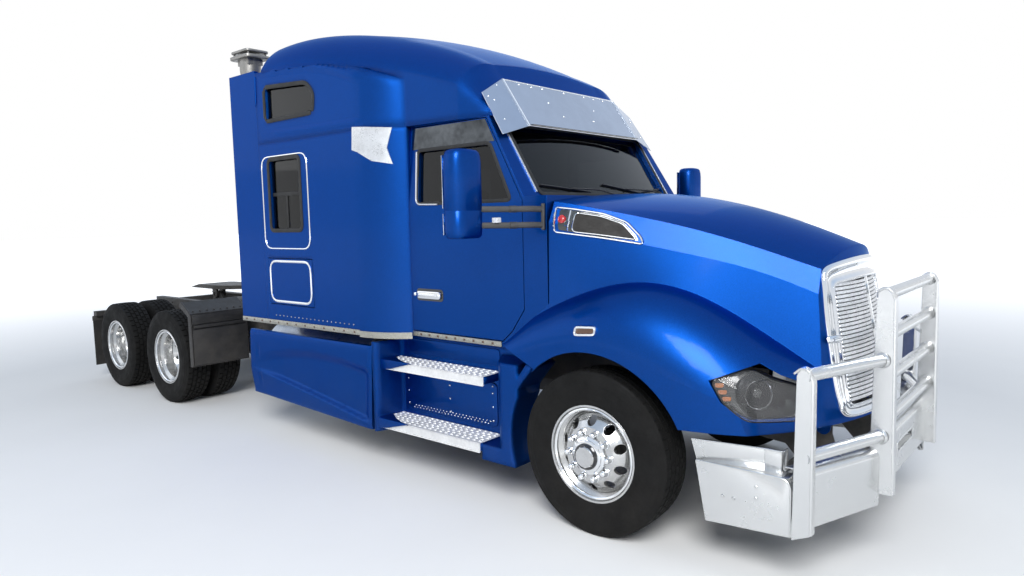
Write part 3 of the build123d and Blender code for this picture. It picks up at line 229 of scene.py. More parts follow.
def sweep(points, section, up=(0, 0, 1), closed=False):
    """A bmesh of a flat section carried along points; section holds (sideways, upward)."""
    bm = bmesh.new()
    count, rings = len(points), []
    for i, p in enumerate(points):
        before = points[i - 1] if closed or i else points[0]
        after = points[(i + 1) % count] if closed or i < count - 1 else points[-1]
        ahead = (Vector(after) - Vector(before)).normalized()
        side = ahead.cross(Vector(up)).normalized()
        top = side.cross(ahead)
        rings.append([bm.verts.new(Vector(p) + side * a + top * b) for a, b in section])
    skin(bm, rings, closed_row=closed)
    if not closed:
        bm.faces.new(rings[0])
        bm.faces.new(list(reversed(rings[-1])))
    return bm


def ring_section(radius, steps=12):
    return [(radius * cos(t), radius * sin(t)) for t in turns(steps)]


def tube(points, radius, steps=14, closed=False, up=(0.02, 0.03, 1)):
    return sweep([Vector(p) for p in points], ring_section(radius, steps), up, closed)


def smooth_path(points, radius=0.05, steps=6):
    """Rounds the corners of a line of points."""
    points = [Vector(p) for p in points]
    out = [points[0]]
    for before, p, after in zip(points, points[1:], points[2:]):
        back, ahead = before - p, after - p
        reach = min(radius, back.length * 0.45, ahead.length * 0.45)
        a, b = p + back.normalized() * reach, p + ahead.normalized() * reach
        out += [a.lerp(p, t).lerp(p.lerp(b, t), t) for t in [i / steps for i in range(steps + 1)]]
    return out + [points[-1]]


def box(x0, z0, x1, z1):
    """The outline of a box."""
    return (x0, z0), (x1, z0), (x1, z1), (x0, z1)


def rounded(outline, radius, steps=5):
    """A closed two-number outline with its corners rounded."""
    out, count = [], len(outline)
    for i, p in enumerate(outline):
        p = Vector(p)
        back, ahead = Vector(outline[i - 1]) - p, Vector(outline[(i + 1) % count]) - p
        reach = min(radius, back.length * 0.48, ahead.length * 0.48)
        a, b = p + back.normalized() * reach, p + ahead.normalized() * reach
        out += [a.lerp(p, k / steps).lerp(p.lerp(b, k / steps), k / steps) for k in range(steps + 1)]
    return [tuple(p) for p in out]


def slab(outline, place, depth, bevel=0.0, segments=2):
    """A bmesh of a flat outline, set in space by place and made solid by the depth vector."""
    bm = bmesh.new()
    low = [bm.verts.new(place(*p)) for p in outline]
    high = [bm.verts.new(v.co + Vector(depth)) for v in low]
    bm.faces.new(low)
    bm.faces.new(list(reversed(high)))
    for i in range(len(low)):
        j = (i + 1) % len(low)
        bm.faces.new((low[j], low[i], high[i], high[j]))
    bmesh.ops.recalc_face_normals(bm, faces=bm.faces)
    if bevel:
        edges = [e for e in bm.edges if e.calc_face_angle(0) > 0.6]
        bmesh.ops.bevel(bm, geom=edges, offset=bevel, segments=segments, profile=0.5, affect="EDGES")
    return bm


def bar(low, high, bevel=0.004, segments=2):
    """A bmesh of a box between two sketch corners with rounded edges."""
    (x0, y0, z0), (x1, y1, z1) = at(*low), at(*high)
    return slab(box(x0, y0, x1, y1), lambda a, b: Vector((a, b, z0)), (0, 0, z1 - z0), bevel, segments)


def bars(*rows):
    """One bmesh of boxes, from rows of what bar takes."""
    return join(*(bar(*row) for row in rows))


def side_slab(outline, y0, y1, bevel=0.0, segments=2):
    """A bmesh of a sketch (x, z) outline between two y values."""
    return slab(outline, lambda a, b: at(a, y0, b), (0, y1 - y0, 0), bevel, segments)


def nut(centre, direction, radius, height):
    """A bmesh of a hexagon head with a chamfer, on a round washer."""
    r, h = radius, height
    washer = ((0, 0), (0, r * 1.32), (h * 0.22, r * 1.32), (h * 0.24, 0))
    head = ((h * 0.2, 0), (h * 0.2, r), (h * 0.88, r), (h, r * 0.82), (h, 0))
    return join(lathe(washer, centre, direction, 20), lathe(head, centre, direction, 6))


def stud(centre, direction, radius, height, steps=14):
    """A bmesh of a low round head."""
    profile = [(-height, 0), (-height, radius)]
    profile += [(height * sin(t), radius * cos(t)) for t in (0.0, 0.5, 0.95, 1.3)] + [(height, 0)]
    return lathe(profile, centre, direction, steps)


def studs(places, direction, radius, height, steps=14):
    """One bmesh of low round heads."""
    return join(*(stud(place, direction, radius, height, steps) for place in places))


TREES = {}


def skin_of(*names):
    """A tree of the surfaces of some CAD nodes, for setting trim on them."""
    if names not in TREES:
        points, faces = [], []
        for name in names:
            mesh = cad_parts[name].data
            base = len(points)
            points += [v.co.copy() for v in mesh.vertices]
            faces += [[base + i for i in p.vertices] for p in mesh.polygons]
        TREES[names] = BVHTree.FromPolygons(points, faces)
    return TREES[names]


def drop(tree, start, direction, lift=0.0):
    """Where a line meets the surface, moved back along the line by lift."""
    start, direction = Vector(start), Vector(direction).normalized()
    hit = tree.ray_cast(start, direction)[0]
    if hit is None:
        hit = tree.find_nearest(start + direction * 2.0)[0]
    return hit - direction * lift


def from_side(tree, x, z, lift=0.0):
    """The sketch point (x, z) dropped onto the right-hand side."""
    return drop(tree, at(x, OUTSIDE_Y, z), (0, 1, 0), lift)


def from_front(tree, y, z, lift=0.0):
    """The sketch point (y, z) dropped onto the front."""
    return drop(tree, at(OUTSIDE_X, y, z), BACK, lift)


def patch(outline, tree, lift=0.004, sink=0.006, step=0.03):
    """A bmesh on the right-hand side inside a convex (x, z) outline, lift proud of it, with its edge sunk into it."""
    bm = bmesh.new()
    xs, ys = [p[0] for p in outline], [p[1] for p in outline]
    wide, high = max(xs) - min(xs), max(ys) - min(ys)
    cols, rows = (max(2, int(size / step) + 1) for size in (wide, high))
    grid = [[bm.verts.new((x, y, 0)) for x in even(min(xs), wide, cols)] for y in even(min(ys), high, rows)]
    skin(bm, grid, closed_ring=False)
    edges = list(zip(outline, [*outline[1:], outline[0]]))
    turn = 1 if sum(a[0] * b[1] - b[0] * a[1] for a, b in edges) > 0 else -1
    for a, b in edges:
        along = Vector((b[0] - a[0], b[1] - a[1], 0))
        if along.length < 1e-5:
            continue
        outward = Vector((along.y, -along.x, 0)) * turn
        geom = bm.verts[:] + bm.edges[:] + bm.faces[:]
        bmesh.ops.bisect_plane(bm, geom=geom, dist=1e-6, plane_co=(a[0], a[1], 0), plane_no=outward, clear_outer=True)
    for v in bm.verts:
        v.co = from_side(tree, v.co.x, v.co.y, lift)
    border = [e for e in bm.edges if e.is_boundary]
    for v in bmesh.ops.extrude_edge_only(bm, edges=border)["geom"]:
        if isinstance(v, bmesh.types.BMVert):
            v.co += Vector((0, lift + sink, 0))
    bmesh.ops.remove_doubles(bm, verts=bm.verts, dist=2e-5)
    return bm


def resampled(outline, spacing, closed=True):
    """The points of an outline, about spacing apart."""
    out, count = [], len(outline)
    for i in range(count if closed else count - 1):
        a, b = Vector(outline[i]), Vector(outline[(i + 1) % count])
        parts = max(1, int((b - a).length / spacing))
        out += [a.lerp(b, k / parts) for k in range(parts)]
    return out if closed else out + [Vector(outline[-1])]


def side_line(outline, tree, width, height, lift=0.0, closed=True, spacing=0.03):
    """A half-round bead along a sketch (x, z) line on the right-hand side."""
    points = [from_side(tree, *p, lift) for p in resampled(outline, spacing, closed)]
    half, low = width / 2, -0.004
    section = ((-half, low), (half, low), (half, height * 0.4), (half * 0.55, height), (-half * 0.55, height),
               (-half, height * 0.4))
    return sweep(points, section, RIGHT, closed)


# ---------------------------------------------------------------- shader groups
GROUPS = {}


def group(key, name, inputs, outputs):
    """A new shared effect: its wires, what it is given and what it gives."""
    tree = GROUPS[key] = bpy.data.node_groups.new(name, "ShaderNodeTree")
    for label, kind, default in inputs:
        tree.interface.new_socket(label, in_out="INPUT", socket_type=kind).default_value = default
    for label, kind in outputs:
        tree.interface.new_socket(label, in_out="OUTPUT", socket_type=kind)
    return Wires(tree), tree.nodes.new("NodeGroupInput").outputs, tree.nodes.new("NodeGroupOutput").inputs


class Wires:
    """Short calls for adding nodes to one tree."""

    def __init__(self, tree):
        self.tree = tree

    def node(self, kind, **values):
        made = self.tree.nodes.new(kind)
        for key, value in values.items():
            setattr(made, key, value)
        return made

    def link(self, source, target):
        self.tree.links.new(source, target)

    def put(self, target, value):
        """Links a socket, or sets a plain value."""
        if isinstance(value, bpy.types.NodeSocket):
            self.link(value, target)
        else:
            target.default_value = value

    def maths(self, operation, a, b=0.0, clamp=False):
        made = self.node("ShaderNodeMath", operation=operation, use_clamp=clamp)
        self.put(made.inputs[0], a)
        self.put(made.inputs[1], b)
        return made.outputs[0]

    def spread(self, value, low, high, out_low, out_high):
        made = self.node("ShaderNodeMapRange")
        keys = ("Value", "From Min", "From Max", "To Min", "To Max")
        for key, number in zip(keys, (value, low, high, out_low, out_high)):
            self.put(made.inputs[key], number)
        return made.outputs["Result"]

    def mix(self, share, a, b, kind="MIX"):
        made = self.node("ShaderNodeMix", data_type="RGBA", blend_type=kind)
        self.put(made.inputs["Factor"], share)
        self.put(made.inputs[6], a)
        self.put(made.inputs[7], b)
        return made.outputs[2]

    def noise(self, place, scale, detail=3.0, roughness=0.5):
        made = self.node("ShaderNodeTexNoise")
        self.put(made.inputs["Vector"], place)
        self.put(made.inputs["Scale"], scale)
        made.inputs["Detail"].default_value = detail
        made.inputs["Roughness"].default_value = roughness
        return made.outputs["Fac"]

    def place(self):
        return self.node("ShaderNodeTexCoord").outputs["Object"]

    def stretched(self, place, scale):
        made = self.node("ShaderNodeMapping")
        self.put(made.inputs["Vector"], place)
        self.put(made.inputs["Scale"], scale)
        return made.outputs["Vector"]

    def split(self, vector):
        made = self.node("ShaderNodeSeparateXYZ")
        self.link(vector, made.inputs[0])
        return made.outputs

    def effect(self, key, **values):
        made = self.node("ShaderNodeGroup", node_tree=GROUPS[key])
        for label, value in values.items():
            self.put(made.inputs[label], value)
        return made.outputs

    def soft_edges(self, radius):
        made = self.node("ShaderNodeBevel", samples=4)
        self.put(made.inputs["Radius"], radius)
        return made.outputs["Normal"]

    def raised(self, height, strength, depth, normal=None):
        made = self.node("ShaderNodeBump")
        for key, value in (("Strength", strength), ("Distance", depth), ("Height", height)):
            self.put(made.inputs[key], value)
        if normal:
            self.link(normal, made.inputs["Normal"])
        return made.outputs["Normal"]


def make_groups():
    """The shared surface effects."""
    number, colour, vector = "NodeSocketFloat", "NodeSocketColor", "NodeSocketVector"

    w, given, result = group("variation", "Fine variation", [
        ("Scale", number, 8.0), ("Low", number, 0.0), ("High", number, 1.0)], [("Value", number)])
    coarse = w.noise(w.place(), given["Scale"], 4.0)
    fine = w.noise(w.place(), w.maths("MULTIPLY", given["Scale"], 7.0), 2.0)
    mixed = w.maths("ADD", w.maths("MULTIPLY", coarse, 0.7), w.maths("MULTIPLY", fine, 0.3))
    w.link(w.spread(mixed, 0.3, 0.7, given["Low"], given["High"]), result["Value"])

    w, given, result = group("wear", "Worn edge", [("Width", number, 0.004), ("Amount", number, 0.6)],
                             [("Mask", number)])
    dot = w.node("ShaderNodeVectorMath", operation="DOT_PRODUCT")
    w.link(w.soft_edges(given["Width"]), dot.inputs[0])
    w.link(w.node("ShaderNodeNewGeometry").outputs["Normal"], dot.inputs[1])
    edge = w.spread(dot.outputs["Value"], 0.995, 0.90, 0.0, 1.0)
    patchy = w.spread(w.noise(w.place(), 35.0, 4.0), 0.42, 0.62, 0.0, 1.0)
    w.link(w.maths("MULTIPLY", w.maths("MULTIPLY", edge, patchy), given["Amount"], True), result["Mask"])

    w, given, result = group("dust", "Road dust", [
        ("Height", number, 0.9), ("Amount", number, 0.4), ("Scale", number, 5.0)],
        [("Mask", number), ("Colour", colour)])
    low = w.spread(w.split(w.place())["Z"], 0.0, given["Height"], 1.0, 0.0)
    blotch = w.spread(w.noise(w.place(), given["Scale"], 5.0, 0.6), 0.35, 0.7, 0.15, 1.0)
    w.link(w.maths("MULTIPLY", w.maths("MULTIPLY", low, blotch), given["Amount"], True), result["Mask"])
    w.link(w.mix(w.noise(w.place(), 40.0), (0.20, 0.17, 0.14, 1), (0.34, 0.30, 0.25, 1)), result["Colour"])

    w, given, result = group("brushed", "Brushed lines", [("Along", vector, (1.0, 1.0, 1.0)), ("Scale", number, 60.0)],
                             [("Value", number)])
    w.link(w.noise(w.stretched(w.place(), given["Along"]), given["Scale"], 3.0, 0.6), result["Value"])

    w, given, result = group("flake", "Metal flake", [("Scale", number, 900.0)], [("Value", number)])
    cells = w.node("ShaderNodeTexVoronoi", feature="F1")
    w.link(w.place(), cells.inputs["Vector"])
    w.link(given["Scale"], cells.inputs["Scale"])
    parts = w.node("ShaderNodeSeparateColor")
    w.link(cells.outputs["Color"], parts.inputs[0])
    w.link(parts.outputs[0], result["Value"])

    w, given, result = group("weave", "Cloth weave", [("Pitch", number, 420.0)], [
        ("Height", number), ("Thread", number)])
    parts = w.split(w.place())
    over, under = (w.maths("SINE", w.maths("MULTIPLY", w.maths("ADD", parts[axis], parts["Z"]), given["Pitch"]))
                   for axis in "XY")
    w.link(w.maths("MULTIPLY", over, under), result["Height"])
    w.link(w.noise(w.place(), 160.0, 3.0), result["Thread"])


# ---------------------------------------------------------------- finishes
FINISH = {}


def opaque(tint, share=1.0):
    """A colour, scaled, with a full alpha."""
    return (*[min(1.0, c * share) for c in tint], 1.0)


def material(name, **sockets):
    """A new Principled material: itself, its wires and its shader's sockets."""
    mat = bpy.data.materials.new(name)
    mat.use_nodes = True
    shader = mat.node_tree.nodes["Principled BSDF"].inputs
    for key, value in sockets.items():
        shader[key.replace("_", " ")].default_value = value
    return mat, Wires(mat.node_tree), shader


def finish(name, colour, rough, metal=0.0, spread=0.25, scale=7.0, bump=0.0, bump_scale=120.0, bump_depth=0.0005,
           round_edges=0.0, wear=0.0, wear_colour=(0.4, 0.4, 0.4), dust=0.0, dust_height=0.9, brushed=None, **sockets):
    """A Principled material with varied colour and roughness, and the shared effects that it asks for."""
    FINISH[name], w, shader = material(name, **sockets)
    tone = w.mix(w.effect("variation", Scale=scale, Low=0.0, High=1.0)["Value"], opaque(colour, 1 - spread),
                 opaque(colour))
    gloss = w.effect("variation", Scale=scale * 2.3, Low=rough * 0.8, High=min(1.0, rough * 1.25))["Value"]
    metallic = metal
    if brushed:
        lines = w.effect("brushed", Along=brushed, Scale=60.0)["Value"]
        gloss = w.maths("ADD", gloss, w.spread(lines, 0.3, 0.7, -rough * 0.35, rough * 0.45), True)
    if wear:
        tone = w.mix(w.effect("wear", Width=0.005, Amount=wear)["Mask"], tone, opaque(wear_colour))
    if dust:
        soil = w.effect("dust", Height=dust_height, Amount=dust, Scale=4.0)
        tone = w.mix(soil["Mask"], tone, soil["Colour"])
        gloss = w.maths("ADD", gloss, w.maths("MULTIPLY", soil["Mask"], 0.5), True)
        if metal:
            metallic = w.maths("MULTIPLY", w.maths("SUBTRACT", 1.0, soil["Mask"]), metal)
    w.link(tone, shader["Base Color"])
    w.link(gloss, shader["Roughness"])
    w.put(shader["Metallic"], metallic)
    normal = w.soft_edges(round_edges) if round_edges else None
    if bump:
        height = lines if brushed else w.noise(w.place(), bump_scale, 4.0)
        normal = w.raised(height, bump, bump_depth, normal)
    if normal:
        w.link(normal, shader["Normal"])


def body_paint(name, soft_edges):
    """Metallic blue under clear lacquer, with flakes and a little road dust low down."""
    FINISH[name], w, shader = material(
        name + "_finish", Coat_Weight=0.14, Coat_Roughness=0.10, Specular_IOR_Level=0.2,
        Specular_Tint=(0.20, 0.55, 1.0, 1.0))
    red, green, blue = colours().paint
    deep = opaque((red, green, blue), 0.72)
    bright = (red + 0.003, green * 1.35, min(1.0, blue * 1.3), 1.0)
    flake = w.effect("flake", Scale=700.0)["Value"]
    drift = w.effect("variation", Scale=1.3, Low=0.0, High=0.25)["Value"]
    tone = w.mix(drift, w.mix(flake, deep, bright), deep)
    soil = w.effect("dust", Height=0.80, Amount=0.10, Scale=3.0)
    w.link(w.mix(soil["Mask"], tone, soil["Colour"]), shader["Base Color"])
    rough = w.spread(flake, 0.0, 1.0, 0.36, 0.46)
    w.link(w.maths("ADD", rough, w.maths("MULTIPLY", soil["Mask"], 0.4), True), shader["Roughness"])
    w.link(w.maths("MULTIPLY", w.maths("SUBTRACT", 1.0, soil["Mask"]), 0.94), shader["Metallic"])
    w.link(w.soft_edges(soft_edges), shader["Normal"])


def glass(name, tint, alpha):
    """Tinted glass that shows what is behind it."""
    FINISH[name], w, shader = material(name, Metallic=0.0, Transmission_Weight=1.0 - alpha, IOR=1.33)
    spots = w.noise(w.place(), 3.0, 5.0)
    w.link(w.spread(spots, 0.3, 0.7, 0.01, 0.05), shader["Roughness"])
    w.link(w.mix(spots, opaque(tint), opaque(tint, 1.15)), shader["Base Color"])


def cloth(name, colour):
    """Woven seat cloth with soft sheen."""
    FINISH[name], w, shader = material(name, Sheen_Weight=0.5, Sheen_Roughness=0.4)
    weave = w.effect("weave", Pitch=900.0)
    w.link(w.mix(weave["Thread"], opaque(colour, 0.6), opaque(colour, 1.5)), shader["Base Color"])
    w.link(w.spread(weave["Thread"], 0.0, 1.0, 0.8, 0.95), shader["Roughness"])
    w.link(w.raised(weave["Height"], 0.4, 0.0006), shader["Normal"])


def make_finishes():
    chassis, seat = tuple(colours().chassis), tuple(colours().seat)
    for name, soft_edges in (("body_paint", 0.006), ("shell_paint", 0.045), ("roof_paint", 0.10)):
        body_paint(name, soft_edges)
    finish("chassis", chassis, 0.5, spread=0.4, dust=0.55, dust_height=1.3, round_edges=0.003, bump=0.3,
           wear=0.35, wear_colour=(0.10, 0.08, 0.07))
    finish("casting", (0.045, 0.046, 0.048), 0.62, 0.3, spread=0.4, dust=0.6, dust_height=1.3, bump=0.8,
           bump_scale=90.0, bump_depth=0.001, wear=0.3, wear_colour=(0.16, 0.11, 0.08))
    finish("coupling", (0.065, 0.062, 0.058), 0.42, 0.75, spread=0.5, scale=9.0, wear=0.6,
           wear_colour=(0.30, 0.28, 0.26), bump=0.5, bump_scale=60.0, round_edges=0.004)
    finish("aluminium", (0.74, 0.745, 0.75), 0.34, 1.0, spread=0.14, brushed=(1.0, 1.0, 14.0), bump=0.25,
           bump_depth=0.0002, round_edges=0.002)
    finish("guard_metal", (0.70, 0.705, 0.70), 0.24, 0.9, spread=0.08, scale=1.6, dust=0.08, dust_height=0.6,
           round_edges=0.004)
    finish("wheel_metal", (0.66, 0.66, 0.65), 0.16, 1.0, spread=0.15, scale=9.0, dust=0.25, dust_height=0.9,
           round_edges=0.003, bump=0.08, bump_depth=0.0002)
    finish("chrome", (0.86, 0.87, 0.88), 0.06, 1.0, spread=0.08, scale=5.0)
    finish("polished_steel", (0.66, 0.68, 0.70), 0.11, 1.0, spread=0.12, scale=2.2, brushed=(1.0, 9.0, 1.0), bump=0.06,
           bump_depth=0.0001, round_edges=0.002)
    # Polished steel of the sun visor: the grey is its own colour, its blue tint a painted reflection of blue sky.
    finish("visor_steel_painted_sky", (0.56, 0.60, 0.68), 0.16, 1.0, spread=0.14, scale=1.6, brushed=(1.0, 9.0, 1.0), bump=0.06,
           bump_depth=0.0001, round_edges=0.002)
    finish("plate_steel", (0.74, 0.76, 0.78), 0.34, 0.7, spread=0.35, scale=5.0, brushed=(1.0, 1.0, 9.0))
    # Mirror-smooth steel for the bonnet vents' beds, made dark: chrome whose dark colour is a painted reflection of
    # dark surroundings.
    finish("vent_steel_painted_reflection", (0.17, 0.175, 0.17), 0.10, 1.0, spread=0.5, scale=3.0)
    finish("grille_metal", (0.84, 0.85, 0.86), 0.30, 0.6, spread=0.2, brushed=(1.0, 1.0, 12.0), bump=0.2)
    finish("rubber", (0.012, 0.012, 0.012), 0.62, spread=0.35, dust=0.15, dust_height=0.9, bump=0.5, bump_scale=260.0)
    finish("tyre_rubber", (0.008, 0.008, 0.008), 0.72, spread=0.4, scale=5.0, dust=0.03, dust_height=1.05, bump=0.5,
           bump_scale=300.0, Specular_IOR_Level=0.15)
    finish("black_plastic", (0.018, 0.018, 0.019), 0.5, spread=0.3, dust=0.25, dust_height=1.2, bump=0.7,
           bump_scale=420.0, bump_depth=0.0004, round_edges=0.003)
    finish("gloss_black", (0.010, 0.010, 0.011), 0.12, spread=0.3, Coat_Weight=0.5)
    finish("dash_plastic", (0.030, 0.031, 0.034), 0.55, spread=0.3, bump=0.8, bump_scale=500.0, bump_depth=0.0004,
           round_edges=0.008)
    finish("trim_grey", (0.16, 0.155, 0.15), 0.6, spread=0.25, bump=0.5, bump_scale=500.0)
    finish("engine_paint", (0.11, 0.11, 0.115), 0.45, 0.4, spread=0.4, dust=0.2, dust_height=2.0, bump=0.5,
           round_edges=0.006)
    finish("red_lens", (0.42, 0.012, 0.010), 0.15, spread=0.3, scale=40.0, Coat_Weight=0.8,
           Emission_Color=(0.5, 0.01, 0.01, 1), Emission_Strength=0.15)
    finish("amber_lens", (0.42, 0.12, 0.012), 0.15, spread=0.3, scale=40.0, Coat_Weight=0.8,
           Emission_Color=(0.8, 0.22, 0.01, 1), Emission_Strength=0.03)
    finish("smoked_lens", (0.10, 0.045, 0.020), 0.10, spread=0.4, scale=40.0, Coat_Weight=0.8)
    finish("white_lens", (0.72, 0.73, 0.74), 0.18, spread=0.2, scale=40.0, Coat_Weight=0.8)
    finish("cap_red", (0.30, 0.045, 0.035), 0.4, spread=0.3, Coat_Weight=0.4)
    finish("weld_metal", (0.55, 0.56, 0.57), 0.42, 0.9, spread=0.3, scale=60.0, bump=0.8, bump_scale=300.0)
    # Polished steel for the panel above each door window: its dark colour is a painted reflection of dark surroundings,
    # not the steel's own colour.
    finish("door_steel_painted_reflection", (0.13, 0.14, 0.15), 0.10, 1.0, spread=0.75, scale=3.5, brushed=(14.0, 1.0, 1.0))
    finish("tread_metal", (0.86, 0.86, 0.85), 0.48, 0.35, spread=0.25, bump=0.2, bump_scale=240.0, bump_depth=0.0004)
    finish("strip_metal", (0.44, 0.43, 0.38), 0.28, 0.9, spread=0.3, brushed=(1.0, 6.0, 6.0))
    finish("stack_steel", (0.34, 0.33, 0.31), 0.42, 0.85, spread=0.3)
    finish("arm_grey", (0.050, 0.048, 0.047), 0.42, spread=0.2, bump=0.3, bump_scale=300.0, bump_depth=0.0003)
    finish("vent_grey", (0.026, 0.024, 0.022), 0.55, Specular_IOR_Level=0.2, spread=0.3, brushed=(1.0, 1.0, 8.0))
    finish("lamp_tray", (0.022, 0.022, 0.024), 0.22, 0.9, spread=0.3, scale=30.0)
    finish("lamp_reflector", (0.62, 0.63, 0.65), 0.14, 1.0, spread=0.25, scale=40.0)
    finish("mirror_glass", (0.72, 0.75, 0.78), 0.03, 1.0, spread=0.05)
    glass("cab_glass_tint", (0.07, 0.08, 0.084), 0.01)
    glass("door_glass_tint", (0.03, 0.034, 0.036), 0.0)
    glass("lamp_glass", (0.92, 0.94, 0.95), 0.05)
    cloth("seat_cloth", seat)
    cloth("bunk_cloth", (0.16, 0.15, 0.14))


# the CAD nodes that each finish is put on
WHEELS = ("1_right", "1_left", "2_right", "2_left")
NODE_FINISH = {
    "body_paint": (
        "cab_shell", "side_extenders", "hood", "door_right", "door_left", "luggage_door_right",
        "luggage_door_left", "side_fairings", "mirrors",
    ),
    "shell_paint": ("sleeper_shell", "steps"),
    "roof_paint": ("roof_cap",),
    "guard_metal": ("guard_uprights", "guard_tubes", "guard_face", "guard_arms", "bumper_ends"),
    "chassis": ("frame", "lamp_bar", "fifth_wheel_base"),
    "casting": ("axles", "suspension", "knuckle_right", "knuckle_left", "tie_rod"),
    "coupling": ("fifth_wheel_plate",),
    "aluminium": ("fuel_tanks", "deck", "radiator"),
    "wheel_metal": ("front_rim_right", "front_rim_left", *("drive_rims_" + wheel for wheel in WHEELS)),
    "tyre_rubber": ("front_tyre_right", "front_tyre_left", *("drive_tyres_" + wheel for wheel in WHEELS)),
    "visor_steel_painted_sky": ("sun_visor",),
    "stack_steel": ("exhaust_stack",),
    "chrome": ("grille_surround",),
    "grille_metal": ("grille_bars",),
    "black_plastic": ("quarter_fenders",),
    "rubber": ("mudflaps",),
    "dash_plastic": ("dashboard",),
    "seat_cloth": ("seats_and_bunk",),
    "engine_paint": ("engine_block",),
    "cab_glass_tint": ("cab_glass",),
    "door_glass_tint": ("door_glass_right", "door_glass_left"),
    "white_lens": ("headlamps",),
}


def build_finishes():
    make_groups()
    make_finishes()
    for name, nodes in NODE_FINISH.items():
        for node in nodes:
            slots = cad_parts[node].data.materials
            slots.clear()
            slots.append(FINISH[name])


class TRACTOR_OT_finishes(bpy.types.Operator):
    """Makes the finishes and puts them on the CAD nodes"""

    bl_idname = "tractor.finishes"
    bl_label = "Finishes"

    def execute(self, context):
        build_finishes()
        return {"FINISHED"}


# ---------------------------------------------------------------- wheels
TYRE_WALL = (
    (0.1162, 0.2906), (0.1166, 0.2995), (0.1270, 0.3050), (0.1305, 0.3120), (0.1296, 0.3230), (0.1325, 0.3400),
    (0.1368, 0.3640), (0.1392, 0.3860), (0.1400, 0.4020), (0.1394, 0.4180), (0.1378, 0.4320), (0.1386, 0.4350),
    (0.1370, 0.4390), (0.1345, 0.4540), (0.1316, 0.4660), (0.1302, 0.4720), (0.1272, 0.4760), (0.1262, 0.4860),
    (0.1225, 0.4960), (0.1165, 0.5015),
)
TREAD_HALF = 0.112
TREAD_TOP = 0.507
TREAD_GROOVES = (-0.069, -0.0235, 0.0235, 0.069)
GROOVE_HALF = 0.007
# how far out the tyres' middles, the faces that carry the nuts, and the rims' outer beads are
FRONT_TRACK, TWIN_TRACKS = 1.05, (0.757, 1.1)
FRONT_FACE, DRIVE_FACE = 1.190, 0.9425
FRONT_BEAD, DRIVE_BEAD = 1.1655, 1.2155
RIM_BEAD = ((-0.002, 0.262), (0.003, 0.266), (0.006, 0.272), (0.003, 0.279), (-0.002, 0.281))
FRONT_HUB = (
    (-0.002, 0.100), (0.010, 0.116), (0.016, 0.114), (0.024, 0.099), (0.030, 0.097), (0.034, 0.090), (0.036, 0.080),
    (-0.002, 0.080),
)
OIL_CAP = (
    (0.030, 0.078), (0.046, 0.079), (0.052, 0.074), (0.056, 0.060), (0.0585, 0.058), (0.0585, 0.047), (0.061, 0.045),
    (0.061, 0.036), (0.056, 0.034), (0.056, 0.0), (0.030, 0.0),
)
DRIVE_FLANGE = (
    (0.0, 0.113), (0.004, 0.120), (0.014, 0.120), (0.018, 0.108), (0.060, 0.104), (0.066, 0.098), (0.110, 0.088),
    (0.122, 0.084), (0.130, 0.072), (0.1315, 0.0), (0.0, 0.0),
)


def tread_line(depth):
    """Across the tread: (along, radius, rib number or None in a groove)."""
    line, edge = [], -TREAD_HALF
    for number, middle in enumerate((*TREAD_GROOVES, TREAD_HALF + GROOVE_HALF)):
        end = middle - GROOVE_HALF
        line += [(y, TREAD_TOP - 0.0035 * (y / TREAD_HALF) ** 2, number) for y in even(edge, end - edge, 2)]
        if number < len(TREAD_GROOVES):
            line += [(end + out, 0.5065 - depth, None) for out in (0.002, 0.012)]
        edge = middle + GROOVE_HALF
    return line


def tyre_mesh(x, y, side, blocks, cut):
    """A bmesh of one tyre: moulded walls, ribs, and cuts across the ribs that are staggered from rib to rib."""
    line = [(-a, r, None) for a, r in TYRE_WALL] + tread_line(sizes().tread_depth)
    line += [(a, r, None) for a, r in reversed(TYRE_WALL)]
    bm, rings = bmesh.new(), []
    steps = ((0.0, 0), (0.03, 1), (0.15, 1), (0.18, 0), (0.5, 0), (0.53, 2), (0.65, 2), (0.68, 0))
    for block in range(blocks):
        for share, low in steps:
            angle = 2 * pi * (block + share) / blocks
            ring = []
            for along, radius, rib in line:
                if rib is not None and low == 1 + rib % 2:
                    radius -= cut
                ring.append(bm.verts.new(at(x, y + side * along, HUB_Z) + Vector((cos(angle), 0, sin(angle))) * radius))
            rings.append(ring)
    skin(bm, rings, closed_row=True)
    return bm


def drive_wheels(side_name):
    """Each driven wheel pair of a side: its place along the frame and the end of its names."""
    return [(x, "%d_%s" % (number, side_name)) for number, x in enumerate(DRIVE_X, 1)]


def build_tyres():
    blocks = sizes().tread_blocks
    for side, name in SIDES:
        piece("front_tyre_tread_" + name, tyre_mesh(0.0, side * FRONT_TRACK, side, blocks + 10, 0.003), "tyre_rubber",
              "front_wheel_" + name, replaces=["front_tyre_" + name], angle=32)
        for x, wheel in drive_wheels(name):
            bm = join(*(tyre_mesh(x, side * track, side, blocks, 0.012) for track in TWIN_TRACKS))
            piece("drive_tyre_treads_" + wheel, bm, "tyre_rubber", "drive_wheels_" + wheel,
                  replaces=["drive_tyres_" + wheel], angle=32)


class TRACTOR_OT_tyres(bpy.types.Operator):
    """Builds the ten tyres with their moulded walls and treads"""

    bl_idname = "tractor.tyres"
    bl_label = "Tyres"

    def execute(self, context):
        build_tyres()
        return {"FINISHED"}


def round_hub(x, y, radius, angles):
    """Points in a ring about a wheel's axis."""
    return [at(x + radius * cos(t), y, HUB_Z + radius * sin(t)) for t in angles]


def nut_covers(x, y, side, height):
    """A bmesh of the ring of tall chromed nut covers outboard of the disc's face at y."""
    profile = (
        (0, 0), (0, 0.023), (0.006, 0.0235), (0.009, 0.0205), (height * 0.55, 0.0185), (height * 0.8, 0.0165),
        (height * 0.94, 0.011), (height, 0),
    )
    places = round_hub(x, y, sizes().nut_ring, turns(sizes().nut_count))
    return join(*(lathe(profile, place, (0, side, 0), 12) for place in places))


